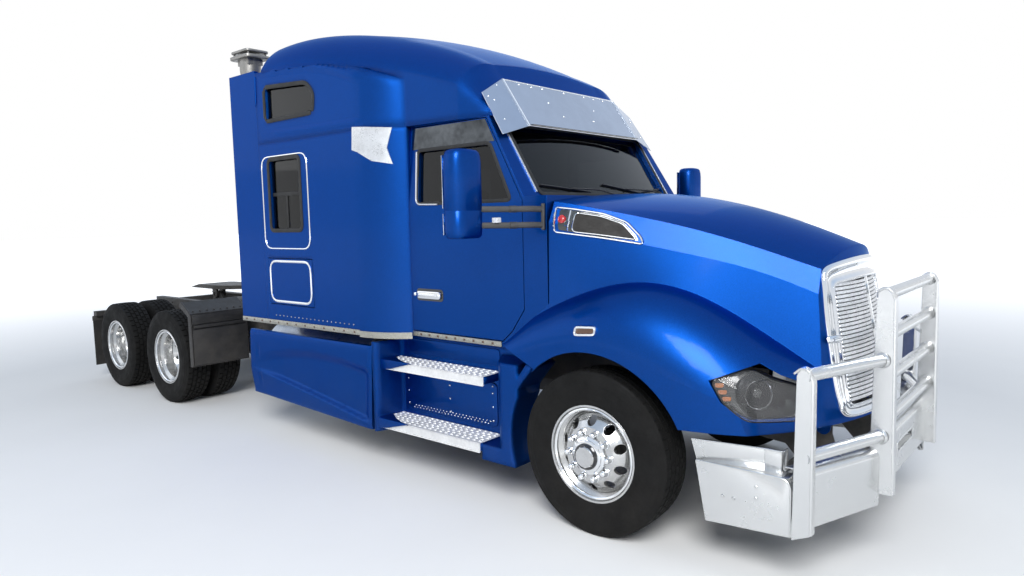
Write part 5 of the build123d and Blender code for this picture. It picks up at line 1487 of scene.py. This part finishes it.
def rolled(y_values, face_x, slant, low, high, hole=None):
    """A bmesh of a sheet that bends back along its top and bottom, with a slot where hole says."""
    roll = [(-0.045 + 0.045 * sin(t), high - 0.045 + 0.045 * cos(t)) for t in quarter(6)]
    section = [(-0.028, low), (-0.010, low + 0.001), (-0.002, low + 0.006), (0.0, low + 0.013)]
    if hole:
        section += [(0.0, hole[1]), (0.0, hole[2])]
    section += [*reversed(roll), (-0.095, high)]
    bm = bmesh.new()
    rows = [[bm.verts.new(at(face_x(y) + out * slant, y, z)) for out, z in section] for y in y_values]
    for j, (a, b) in enumerate(zip(rows, rows[1:])):
        for k in range(len(section) - 1):
            if hole and k == 4 and abs(y_values[j] + y_values[j + 1]) < 0.01:
                continue
            bm.faces.new((a[k], a[k + 1], b[k + 1], b[k]))
    bmesh.ops.recalc_face_normals(bm, faces=bm.faces)
    bmesh.ops.solidify(bm, geom=bm.faces[:], thickness=0.006)
    return bm


def build_guard_frame():
    weld = sizes().weld_radius

    def flanges():
        outer = ((1.2625, 0.335), (1.2625, 1.110), (1.243, 1.155), (1.213, 1.1655), (1.180, 1.135))
        inner = ((1.4995, 0.42), (1.4885, 1.470), (1.470, 1.505), (1.445, 1.518), (1.410, 1.500))
        return join(*(sweep(smooth_path([at(x, y, z) for x, z in line], 0.03), FLANGE, (0, 1, 0))
                      for y, line in ((-1.130, outer), (-0.565, inner))))

    def welds():
        places = []
        for z in SIDE_TUBES:
            direction = Vector((0.2225, 0.565, 0.010)).normalized()
            places += [(at(*OUTER_POST, z), direction), (at(*INNER_POST, z + 0.010), direction)]
        places += [(at(FRONT_TUBE_X, -0.556, z), Vector((0, 1, 0))) for z in FRONT_TUBES]
        bm = bmesh.new()
        for place, direction in places:
            side = direction.orthogonal().normalized()
            up = direction.cross(side)
            ring = [place + (side * cos(t) + up * sin(t)) * 0.036 for t in turns(28)]
            add(bm, tube(ring, weld, 8, True, direction))
        return bm

    def collars():
        side = [lathe(COLLAR, at(INNER_POST[0], -0.573, z + 0.010), (0.37, 0.93, 0), 28) for z in SIDE_TUBES]
        return join(*side, *(lathe(COLLAR, at(FRONT_TUBE_X, -0.557, z), RIGHT, 28) for z in FRONT_TUBES))

    def side_sheet():
        return rolled(even(-1.122, 0.549, 8), lambda y: 1.2325 + 0.2105 * (y + 1.130) / 0.565, 1.07, 0.345, 0.657)

    for label, make, metal in (("flanges", flanges, "guard_metal"), ("welds", welds, "weld_metal"),
                               ("collars", collars, "guard_metal")):
        pair("guard_" + label, make, metal, "front_guard")
    half, low, high = GUARD_SLOT
    bm = both_sides(side_sheet)
    add(bm, rolled([-0.557, -half, half, 0.557], lambda y: FRONT_TUBE_X, 1.0, 0.415, 0.702, GUARD_SLOT))
    slot = rounded(box(-half, low, half, high), 0.010)
    add(bm, tube([at(FRONT_TUBE_X, *p) for p in slot], 0.005, 8, True, AHEAD))
    piece("guard_face_sheets", bm, "guard_metal", "front_guard", replaces=["guard_face"], angle=30)


# the bumper end's front, its plate's outer and inner face, its rim, its top and the radius of its upper corner
END_X, END_FACE, END_BACK, END_RIM_Y, END_TOP, END_ROLL = 1.157, -1.105, -1.095, -1.101, 0.585, 0.055


def rolled_corner():
    """The (x, z) points of the bumper end's round upper front corner."""
    return [(END_X - END_ROLL + END_ROLL * cos(t), 0.530 + END_ROLL * sin(t)) for t in quarter(7)]


def build_bumper_ends():
    def sheets():
        # the two rear corners are repeated points, which keep the bevel narrow there
        rear = rounded(((0.640, END_TOP), (0.700, 0.258), (END_X, 0.283), (END_X, END_TOP)), 0.0)[:12]
        side = [*rear, (END_X, 0.283), *rolled_corner()]
        shelf = ((0.642, -1.102), (1.118, -1.102), (1.140, -1.080), (1.140, -0.990), (1.000, -1.010), (0.640, -1.085))
        ledge = (at(0.642, -1.092, 0.583), at(1.000, -1.032, 0.583), at(1.000, -1.044, 0.700), at(0.618, -1.112, 0.703))
        return join(side_slab(side, END_BACK, END_FACE, 0.003),
                    slab(shelf, lambda a, b: at(a, b, 0.579), (0, 0, 0.006), 0.002),
                    slab(ledge, lambda *p: Vector(p), (0.0, 0.008, 0.0), 0.002),
                    bar((1.000, -1.046, 0.583), (1.095, -1.038, 0.702), 0.003),
                    bar((1.087, -1.046, 0.583), (1.095, -0.960, 0.702), 0.003),
                    bar((1.000, -1.096, 0.460), (1.060, -0.455, 0.540)))

    def edges():
        front = [(END_X, 0.290), (END_X, 0.500), *rolled_corner(), (0.90, END_TOP), (0.645, END_TOP)]
        ledge = [at(0.620, -1.108, 0.703), at(1.000, -1.040, 0.701), at(1.093, -1.042, 0.702)]
        return join(tube([at(x, END_RIM_Y, z) for x, z in front], 0.0065, 10), tube(ledge, 0.005, 8),
                    studs([at(0.98, END_FACE, z) for z in (0.45, 0.51)], RIGHT, 0.010, 0.005),
                    *(nut(at(x, END_FACE, 0.42), RIGHT, 0.008, 0.006) for x in (0.80, 0.86)))

    pair("bumper_end_sheets", sheets, "guard_metal", replaces=["bumper_ends"], angle=30)
    pair("bumper_end_edges", edges, "guard_metal")


def build_guard():
    build_guard_frame()
    build_bumper_ends()


class TRACTOR_OT_guard(bpy.types.Operator):
    """Builds the guard's flanges, tube ends, weld beads and rolled face edges"""

    bl_idname = "tractor.guard"
    bl_label = "Front guard"

    def execute(self, context):
        build_guard()
        return {"FINISHED"}


# ---------------------------------------------------------------- fairings and fenders
FAIRING_Y, FAIRING_BACK_Y = -1.2148, -1.166
# the fairing's lower and upper edges, from the back forward
FAIRING_LOW = Vector((-3.830, 0.355)), Vector((-2.050, 0.300))
FAIRING_HIGH = Vector((-3.800, 0.960)), Vector((-2.010, 0.970))


def fairing_y(x, z, u, share):
    """How far out the fairing is at (x, z), which is u along it and share up it."""
    y = FAIRING_Y
    crease = 0.600 - 0.215 * u - 0.04 * u * u
    below = z - crease
    if below < 0:
        y += 0.040 * min(1.0, -below / 0.24) ** 1.2
    else:
        arch = crease + 0.045 + 0.36 * (1 - (1 - u) ** 2.2)
        depth = 0.042 * ease(u / 0.30) * ease((1 - u) / 0.06)
        y += depth * ease(below / 0.030) * (1 - ease((z - arch + 0.05) / 0.10))
    seam = abs(x + 3.655 + 0.05 * (z - 0.65))
    y += 0.010 * exp(-(seam / 0.006) ** 2)
    y += 0.012 * exp(-min(share, 1 - share) * 0.61 / 0.012)
    return y + 0.014 * exp(-min(u, 1 - u) * 1.78 / 0.014)


def fairing():
    """A bmesh of one side fairing: its hollow, its seam and its rounded edges."""
    bm = bmesh.new()
    cols, rows = 72, 54
    outer, inner = [], []
    for j in range(rows + 1):
        ring, back = [], []
        for i in range(cols + 1):
            u, share = i / cols, j / rows
            p = FAIRING_LOW[0].lerp(FAIRING_LOW[1], u).lerp(FAIRING_HIGH[0].lerp(FAIRING_HIGH[1], u), share)
            ring.append(bm.verts.new(at(p.x, fairing_y(p.x, p.y, u, share), p.y)))
            back.append(bm.verts.new(at(p.x, FAIRING_BACK_Y, p.y)))
        outer.append(ring)
        inner.append(back)
    for rings in (outer, inner, *([[r[end] for r in rows] for rows in (outer, inner)] for end in (0, -1)),
                  *([outer[end], inner[end]] for end in (0, -1))):
        skin(bm, rings, closed_ring=False)
    add(bm, bar((-2.90, -1.167, 0.69), (-2.86, -1.119, 0.75), 0.003))
    return bm


def build_fairings():
    def edges():
        line = [at(-4.918, -1.228, 0.47), at(-4.918, -1.228, 1.02), at(-5.112, -1.228, 1.128)]
        return tube(smooth_path(line, 0.08), 0.010, 10)

    def ribs():
        return join(bar((-4.921, -1.200, 0.865), (-4.905, -0.64, 0.895), 0.005),
                    bars(*(((-4.921, -1.215, low), (-4.914, -0.62, high)) for low, high in
                           ((0.905, 1.005), (0.475, 0.850)))),
                    studs([at(-4.955, -1.18 + 0.075 * k, 1.043) for k in range(8)], (0.5, 0, 0.86), 0.010, 0.007, 12))

    pair("side_fairing_panels", fairing, "body_paint", replaces=["side_fairings"], angle=50)
    pair("fender_edges", edges, "black_plastic")
    pair("fender_ribs", ribs, "black_plastic")


class TRACTOR_OT_fairings(bpy.types.Operator):
    """Builds the sculpted side fairings"""

    bl_idname = "tractor.fairings"
    bl_label = "Side fairings"

    def execute(self, context):
        build_fairings()
        return {"FINISHED"}


# ---------------------------------------------------------------- exhaust and rear end
STACK_X, STACK_Y = -4.080, -0.880
STACK_CAP = box(-4.245, -1.010, -3.915, -0.750)
# the perforated shield: its radius, its foot, and its rows and holes a row
SHIELD_RADIUS, SHIELD_LOW, SHIELD_ROWS, SHIELD_HOLES = 0.0615, 1.60, 14, 26
STACK_STEM = ((3.300, 0.063), (3.320, 0.088), (3.380, 0.098), (3.500, 0.098), (3.500, 0.090), (3.330, 0.063))


def build_exhaust():
    foot = at(STACK_X, STACK_Y, 0.0)
    bm = bmesh.new()
    for z in (1.12, 1.50, 2.20, 2.90, 3.14):
        low, high = z - 0.022, z + 0.022
        add(bm, lathe(((low, 0.0600), (low, 0.0665), (high, 0.0665), (high, 0.0600)), foot, UP, 40))
        add(bm, bar((-4.020, -0.892, z - 0.014), (-3.996, -0.868, z + 0.014), 0.003))
    for i in range(SHIELD_ROWS):
        for k in range(SHIELD_HOLES):
            angle = 2 * pi * (k + 0.5 * (i % 2)) / SHIELD_HOLES
            place = Vector((SHIELD_RADIUS * cos(angle), SHIELD_RADIUS * sin(angle), SHIELD_LOW + 0.036 * i))
            add(bm, stud(foot + place, (cos(angle), sin(angle), 0), 0.0055, 0.0022, 6))
    piece("exhaust_bands", bm, "chrome")
    cap = rounded(STACK_CAP, 0.05)
    smaller = [(STACK_X + (x - STACK_X) * 0.93, STACK_Y + (y - STACK_Y) * 0.93) for x, y in cap]
    bm = join(lathe(STACK_STEM, foot, UP, 40), slab(cap, lambda a, b: at(a, b, 3.492), (0, 0, 0.030), 0.004),
              slab(smaller, lambda a, b: at(a, b, 3.548), (0, 0, 0.024), 0.008),
              *(bar((x - 0.012, y - 0.004, 3.515), (x + 0.012, y + 0.004, 3.552), 0.001)
                for x, y in box(-4.205, -0.97, -3.955, -0.79)))
    piece("exhaust_tip", bm, "stack_steel")


class TRACTOR_OT_exhaust(bpy.types.Operator):
    """Builds the exhaust's heat shield, clamps and top"""

    bl_idname = "tractor.exhaust"
    bl_label = "Exhaust stack"

    def execute(self, context):
        build_exhaust()
        return {"FINISHED"}


LAMP_BAR_X = -7.652
TAIL_LAMP = ((-0.006, 0.0), (-0.006, 0.026), (0.003, 0.0265), (0.007, 0.022), (0.009, 0.0))
TAIL_LAMP_RING = ((-0.004, 0.026), (0.004, 0.0265), (0.004, 0.0295), (-0.004, 0.030))
TANK_END = [(0.0, 0.0), (0.0, 0.05), (0.012, 0.10), (0.03, 0.122), (0.05, 0.130)]
TANK_BAND = ((-0.02, 0.128), (-0.02, 0.135), (0.02, 0.135), (0.02, 0.128))
TANK_LENGTH = 0.60
AIR_SPRING = (
    (0.0, 0.085), (0.0, 0.118), (0.02, 0.128), (0.06, 0.140), (0.10, 0.140), (0.125, 0.124), (0.150, 0.140),
    (0.19, 0.140), (0.215, 0.124), (0.226, 0.110), (0.226, 0.085),
)
BRAKE_DRUM = (
    (0.0, 0.0), (0.0, 0.05), (0.01, 0.078), (0.05, 0.082), (0.055, 0.090), (0.068, 0.090), (0.073, 0.082),
    (0.14, 0.078), (0.155, 0.055), (0.157, 0.0),
)
COUPLING_JAWS = ((-0.040, 0.0257), (-0.040, 0.064), (-0.003, 0.066), (-0.003, 0.030), (-0.006, 0.0257))


def build_rear():
    def tail(profile):
        return join(*(lathe(profile, at(LAMP_BAR_X, y, 0.836), BACK, 24) for y in (-1.14, -1.05, -0.96)))

    def bolts():
        rails = [-7.45 + 0.36 * k for k in range(22)]
        return join(bar((-7.6505, -1.215, 0.745), (-7.627, -0.615, 0.800)),
                    *(nut(at(-7.6505, -1.17 + 0.10 * k, 0.772), BACK, 0.009, 0.006) for k in range(6)),
                    *(nut(at(x, -0.432, z), RIGHT, 0.011, 0.009)
                      for x in rails if not -6.35 < x < -5.45 for z in (0.775, 0.935)))

    def springs():
        return join(*(lathe(AIR_SPRING, at(x, -0.350, 0.4905), UP, 36) for x in (-5.805, -7.125)))

    def chambers():
        bm = bmesh.new()
        for x in DRIVE_X:
            add(bm, lathe(BRAKE_DRUM, at(x - 0.12, -0.47, 0.60), (-0.75, 0, 0.35), 28))
            add(bm, tube([at(x - 0.13, -0.47, 0.59), at(x - 0.02, -0.47, 0.545)], 0.012, 8))
        return bm

    pair("tail_lamps", lambda: tail(TAIL_LAMP), "red_lens")
    pair("tail_lamp_rings", lambda: tail(TAIL_LAMP_RING), "rubber")
    piece("blank_plate", bar((-7.656, -0.16, 0.752), (-7.651, 0.16, 0.862), 0.002), "aluminium")
    pair("chassis_bolts", bolts, "chassis")
    tank = lathe(TANK_END + [(TANK_LENGTH - a, r) for a, r in reversed(TANK_END)], at(-4.95, 0.0, 0.86), AHEAD, 32)
    bands = (lathe(TANK_BAND, at(x, 0, 0.86), AHEAD, 32) for x in (-4.84, -4.47))
    piece("air_tank", join(tank, *bands), "chassis")
    pair("air_springs", springs, "rubber", slot="flap_rubber")
    pair("brake_chambers", chambers, "casting")
    grips = [at(-4.58 + 0.08 * i + 0.02 * (k % 2), -0.36 + 0.06 * k, 1.0025) for i in range(7) for k in range(13)]
    piece("deck_grips", studs(grips, UP, 0.013, 0.004, 8), "aluminium")
    screws = [at(x, y, 1.2155) for y in (-0.30, 0.30) for x in (-6.15, -5.65)]
    bm = join(lathe(COUPLING_JAWS, at(-5.900, 0, 1.215), UP, 36),
              tube([at(-5.86, -0.10, 1.176), at(-5.86, -0.30, 1.176)], 0.009, 8), studs(screws, UP, 0.014, 0.0018, 12))
    piece("coupling_fittings", bm, "coupling", "fifth_wheel")


class TRACTOR_OT_rear(bpy.types.Operator):
    """Builds the tail lamps, blank plate, air tanks, rail bolts and the coupling's fittings"""

    bl_idname = "tractor.rear"
    bl_label = "Chassis and rear end"

    def execute(self, context):
        build_rear()
        return {"FINISHED"}


# ---------------------------------------------------------------- interior
SEAT_Y, SEAT_BACK_LEAN = 0.5, 84


def pad(low, high, crown=0.02, channels=(), lean=0.0, parts=14, power=5.0):
    """A bmesh of a stuffed cushion: crowned, drawn in between its corners, with sewn channels across it."""
    bm = bmesh.new()
    bmesh.ops.create_cube(bm, size=2.0)
    bmesh.ops.subdivide_edges(bm, edges=bm.edges[:], cuts=parts, use_grid_fill=True)
    (x0, y0, z0), (x1, y1, z1) = low, high
    half = Vector(((x1 - x0) / 2, (y1 - y0) / 2, (z1 - z0) / 2))
    middle = Vector(((x1 + x0) / 2, (y1 + y0) / 2, (z1 + z0) / 2))
    for v in bm.verts:
        u, s, t = v.co
        fit = (abs(u) ** power + abs(s) ** power + abs(t) ** power) ** (-1.0 / power)
        u, s, t = u * fit, s * fit, t * fit
        swell = (1 - u * u) * (1 - s * s)
        z = t * (half.z - crown) + crown * swell * (1 if t > 0 else -0.3)
        for axis, place in channels:
            where = (u, s)[axis]
            z -= 0.018 * exp(-((where - place) * (half.x, half.y)[axis] / 0.010) ** 2) * max(0.0, t)
        draw = 1 - 0.025 * (1 - s * s) * abs(u)
        v.co = Vector((middle.x + u * half.x * draw, middle.y + s * half.y * (1 - 0.02 * (1 - u * u)), middle.z + z))
    if lean:
        bmesh.ops.rotate(bm, cent=(middle.x, middle.y, z0), matrix=Matrix.Rotation(lean, 3, "Y"), verts=bm.verts)
    bmesh.ops.translate(bm, vec=(AXLE_X, 0, 0), verts=bm.verts)
    return bm


def build_interior():
    rows = []
    for side, _ in SIDES:
        y = side * SEAT_Y
        rows += [((-1.50, y - 0.17, 1.131), (-1.23, y + 0.17, 1.16), 0.01),
                 ((-1.46, y - 0.13, 1.16), (-1.27, y + 0.13, 1.42), 0.03),
                 ((-1.58, y - 0.22, 1.415), (-1.18, y + 0.22, 1.45), 0.012)]
    bases = bars(*rows, ((-3.378, -1.148, 1.131), (-2.502, 1.148, 1.559), 0.012))
    piece("seat_bases_and_bunk_box", bases, "dash_plastic", replaces=["seats_and_bunk"])
    for side, name in SIDES:
        y = side * SEAT_Y
        bm = pad((-1.60, y - 0.24, 1.448), (-1.16, y + 0.24, 1.562), 0.025, ((1, -0.62), (1, 0.62), (0, 0.35)))
        piece("seat_cushion_" + name, bm, "seat_cloth")
        bm = pad((-0.33, y - 0.23, -0.065), (0.33, y + 0.23, 0.065), 0.03, ((1, -0.6), (1, 0.6), (0, -0.3), (0, 0.3)))
        bmesh.ops.translate(bm, vec=(-AXLE_X, 0, 0), verts=bm.verts)
        bmesh.ops.rotate(bm, cent=(0, 0, 0), matrix=Matrix.Rotation(radians(SEAT_BACK_LEAN), 3, "Y"), verts=bm.verts)
        bmesh.ops.translate(bm, vec=at(-1.570, 0, 1.86), verts=bm.verts)
        piece("seat_back_" + name, bm, "seat_cloth")
    seams = (*((1, -0.8 + 0.4 * k) for k in range(5)), (0, 0.0))
    bm = pad((-3.358, -1.135, 1.561), (-2.522, 1.135, 1.718), 0.02, seams, parts=26)
    piece("bunk_mattress", bm, "bunk_cloth")

    rim = ((-0.004, 0.052), (0.006, 0.055), (0.010, 0.058), (0.004, 0.062), (-0.006, 0.062))
    bm = join(*(lathe(rim, at(-0.868, y, 1.905), (-0.62, 0, 0.78), 32) for y in (0.36, 0.60)),
              *(bar((-0.792, y - 0.05, 1.948), (-0.700, y + 0.05, 1.966)) for y in (-0.80, -0.35, 0.05, 0.86)),
              bar((-0.905, -0.20, 1.66), (-0.888, 0.16, 1.84), 0.006))
    piece("dash_instruments", bm, "gloss_black", slot="cab_plastic")

    lining = rounded(((-1.655, 1.17), (-0.80, 1.17), (-0.66, 1.38), (-0.66, 1.99), (-1.655, 1.99)), 0.05)
    for side, name in SIDES:
        bm = join(side_slab(lining, -1.0015, -0.990, 0.004),
                  bar((-1.55, -0.992, 1.56), (-0.95, -0.962, 1.62), 0.012, 3),
                  bar((-1.50, -0.992, 1.22), (-0.90, -0.970, 1.36), 0.012, 3))
        piece("door_lining_" + name, on_side(bm, side), "trim_grey", "door_" + name)


class TRACTOR_OT_interior(bpy.types.Operator):
    """Builds the seats, the bunk, the instruments and the door linings"""

    bl_idname = "tractor.interior"
    bl_label = "Cab interior"

    def execute(self, context):
        build_interior()
        return {"FINISHED"}


CYLINDERS, FAN_BLADES = 6, 9
# the corners of a blade: how far out, across and forward
FAN_BLADE = ((0.05, -0.04, -0.015), (0.05, 0.04, 0.015), (0.34, 0.075, 0.020), (0.34, -0.055, -0.020))


def build_engine():
    ribs = [((-0.30 + 0.135 * k, -0.185, 1.50), (-0.27 + 0.135 * k, 0.185, 1.612), 0.006)
            for k in range(CYLINDERS)]
    piece("engine_covers", bars(((-0.34, -0.17, 1.54), (0.50, 0.17, 1.60), 0.02, 3), *ribs,
                                ((-0.30, -0.345, 0.86), (0.48, -0.331, 1.20), 0.008),
                                ((-0.25, 0.331, 0.86), (0.48, 0.345, 1.30), 0.008)), "casting")
    port = [at(-0.25, -0.37, 1.32), at(0.44, -0.37, 1.32), at(0.50, -0.36, 1.26)]
    bm = tube(smooth_path(port), 0.040, 16)
    for k in range(CYLINDERS):
        add(bm, tube([at(-0.22 + 0.125 * k, -0.33, 1.36), at(-0.22 + 0.125 * k, -0.37, 1.33)], 0.022, 10))
    turbo = ((-0.05, 0.0), (-0.05, 0.06), (-0.02, 0.10), (0.02, 0.11), (0.05, 0.085), (0.06, 0.0))
    add(bm, lathe(turbo, at(0.10, -0.435, 1.24), AHEAD, 28))
    piece("engine_manifold", bm, "casting")
    pipe = [at(0.12, 0.40, 1.36), at(0.50, 0.42, 1.36), at(0.70, 0.40, 1.30), at(0.78, 0.34, 1.28)]
    hose = [at(0.57, -0.20, 1.42), at(0.70, -0.22, 1.44), at(0.79, -0.25, 1.40)]
    bm = join(tube(smooth_path(pipe, 0.10), 0.045, 18), tube(smooth_path(hose, 0.06), 0.028))
    piece("engine_pipes", bm, "rubber")
    hub = at(0.715, 0, 1.08)
    bm = lathe(((-0.15, 0.0), (-0.15, 0.05), (0.01, 0.06), (0.02, 0.0)), hub, AHEAD, 24)
    for t in turns(FAN_BLADES):
        out, around = Vector((0, cos(t), sin(t))), Vector((0, -sin(t), cos(t)))
        near = [hub + out * r + around * w + Vector((d, 0, 0)) for r, w, d in FAN_BLADE]
        add(bm, loft(near, [p + Vector((0.006, 0, 0)) for p in near]))
    piece("engine_fan", bm, "black_plastic")


class TRACTOR_OT_engine(bpy.types.Operator):
    """Builds the parts that show on the engine when the bonnet is open"""

    bl_idname = "tractor.engine"
    bl_label = "Engine"

    def execute(self, context):
        build_engine()
        return {"FINISHED"}


# ---------------------------------------------------------------- stage
WHITE = (1, 1, 1, 1)
FLOOR_HALF = 140.0
# the floor turns white between these distances from the middle, and glows up to a shorter one
WHITE_FROM, WHITE_TO, GLOW_TO = 6.0, 22.0, 20.0
# name, place, target, size and power of each lamp
LAMPS = (
    ("key_light", (9.0, -10.6, 10.2), (0.0, 0.0, 1.4), 7.0, 2500.0),
    ("fill_light", (-9.0, -9.0, 7.0), (-1.0, 0.0, 1.5), 8.0, 120.0),
    ("left_light", (-5.0, 11.0, 8.0), (0.0, 0.0, 1.5), 9.0, 180.0),
)
# the camera as it was solved from the photograph: its place, its turns in degrees, its focal length in pixels
CAMERA_PLACE = (2.366, -4.646, 1.927)
CAMERA_YAW, CAMERA_PITCH, CAMERA_ROLL = 130.447, -5.549, -1.318
CAMERA_FOCUS, PHOTO_WIDTH, SENSOR_WIDTH = 715.13, 1024, 36.0


def linked(name, data):
    obj = bpy.data.objects.new(name, data)
    bpy.context.scene.collection.objects.link(obj)
    return obj


def direct_rays(w):
    """1 for the rays that show the background itself, through glass too, and 1 for those and mirrored ones."""
    seen = w.node("ShaderNodeLightPath").outputs
    plain = w.maths("ADD", seen["Is Camera Ray"], seen["Is Transmission Ray"], True)
    return plain, w.maths("ADD", plain, seen["Is Glossy Ray"], True)


def build_floor():
    tint = tuple(colours().floor)
    bm = bmesh.new()
    bmesh.ops.create_grid(bm, x_segments=8, y_segments=8, size=FLOOR_HALF)
    floor = linked("studio_floor", bpy.data.meshes.new("studio_floor"))
    bm.to_mesh(floor.data)
    bm.free()
    mat, w, shader = material("floor_finish", Emission_Color=WHITE, Roughness=0.75)
    far = w.node("ShaderNodeVectorMath", operation="LENGTH")
    w.link(w.place(), far.inputs[0])
    base = w.mix(w.noise(w.place(), 2.0, 4.0), opaque(tint, 0.97), opaque(tint))
    w.link(w.mix(w.spread(far.outputs["Value"], WHITE_FROM, WHITE_TO, 0.0, 1.0), base, WHITE), shader["Base Color"])
    glow = w.spread(far.outputs["Value"], WHITE_FROM, GLOW_TO, 0.0, 1.0)
    w.link(w.maths("MULTIPLY", glow, direct_rays(w)[1]), shader["Emission Strength"])
    floor.data.materials.append(mat)


def build_world():
    world = bpy.context.scene.world = bpy.data.worlds.new("studio_world")
    world.use_nodes = True
    w = Wires(world.node_tree)
    background = world.node_tree.nodes["Background"].inputs
    shade = w.spread(w.split(w.node("ShaderNodeTexCoord").outputs["Generated"])["Z"], 0.02, 0.75, 1.0, 0.0)
    plain, direct = direct_rays(w)
    sky = w.mix(shade, (0.55, 0.68, 0.88, 1), (0.92, 0.93, 0.95, 1))
    w.link(w.mix(plain, sky, WHITE), background["Color"])
    w.link(w.spread(direct, 0.0, 1.0, 0.50, 1.0), background["Strength"])


def build_camera():
    data = bpy.data.cameras.new("photo_camera")
    data.sensor_width, data.lens = SENSOR_WIDTH, SENSOR_WIDTH * CAMERA_FOCUS / PHOTO_WIDTH
    data.clip_start, data.clip_end = 0.1, 300.0
    yaw, pitch, roll = (radians(a) for a in (CAMERA_YAW, CAMERA_PITCH, CAMERA_ROLL))
    ahead = Vector((cos(yaw) * cos(pitch), sin(yaw) * cos(pitch), sin(pitch)))
    right = ahead.cross(Vector(UP)).normalized()
    up = right.cross(ahead)
    turn = Matrix((right * cos(roll) + up * sin(roll), up * cos(roll) - right * sin(roll), -ahead)).transposed()
    camera = linked("photo_camera", data)
    camera.matrix_world = Matrix.Translation(at(*CAMERA_PLACE)) @ turn.to_4x4()
    bpy.context.scene.camera = camera


def build_stage():
    bpy.context.scene.view_settings.view_transform = "Standard"
    build_floor()
    build_world()
    for name, place, target, size, power in LAMPS:
        lamp = bpy.data.lights.new(name, "AREA")
        lamp.energy, lamp.size = power, size
        obj = linked(name, lamp)
        obj.location = place
        obj.rotation_mode = "QUATERNION"
        obj.rotation_quaternion = (Vector(target) - Vector(place)).to_track_quat("-Z", "Y")
    build_camera()


class TRACTOR_OT_stage(bpy.types.Operator):
    """Builds the floor, the lights, the world and the camera"""

    bl_idname = "tractor.stage"
    bl_label = "Studio stage"

    def execute(self, context):
        build_stage()
        return {"FINISHED"}


# ---------------------------------------------------------------- panel and running order
OPERATORS = [
    TRACTOR_OT_finishes,
    TRACTOR_OT_tyres,
    TRACTOR_OT_wheel_trim,
    TRACTOR_OT_steps,
    TRACTOR_OT_visor,
    TRACTOR_OT_windows,
    TRACTOR_OT_doors,
    TRACTOR_OT_mirrors,
    TRACTOR_OT_hood_trim,
    TRACTOR_OT_grille,
    TRACTOR_OT_headlamps,
    TRACTOR_OT_guard,
    TRACTOR_OT_fairings,
    TRACTOR_OT_exhaust,
    TRACTOR_OT_rear,
    TRACTOR_OT_interior,
    TRACTOR_OT_engine,
    TRACTOR_OT_stage,
]


class TRACTOR_PT_panel(bpy.types.Panel):
    """Lists the steps that build the tractor's looks"""

    bl_label = "Tractor looks"
    bl_idname = "TRACTOR_PT_panel"
    bl_space_type = "VIEW_3D"
    bl_region_type = "UI"
    bl_category = "Tractor"

    def draw(self, context):
        layout = self.layout
        for group_name in ("tractor_sizes", "tractor_colours"):
            values = getattr(context.scene, group_name)
            for key in values.__annotations__:
                layout.prop(values, key)
        for operator in OPERATORS:
            layout.operator(operator.bl_idname)


def register():
    for item in (TractorSizes, TractorColours, *OPERATORS, TRACTOR_PT_panel):
        bpy.utils.register_class(item)
    bpy.types.Scene.tractor_sizes = PointerProperty(type=TractorSizes)
    bpy.types.Scene.tractor_colours = PointerProperty(type=TractorColours)


def unregister():
    del bpy.types.Scene.tractor_colours
    del bpy.types.Scene.tractor_sizes
    for item in reversed((TractorSizes, TractorColours, *OPERATORS, TRACTOR_PT_panel)):
        bpy.utils.unregister_class(item)


def main():
    register()
    for operator in OPERATORS:
        area, name = operator.bl_idname.split(".")
        getattr(getattr(bpy.ops, area), name)()


if __name__ == "__main__":
    main()
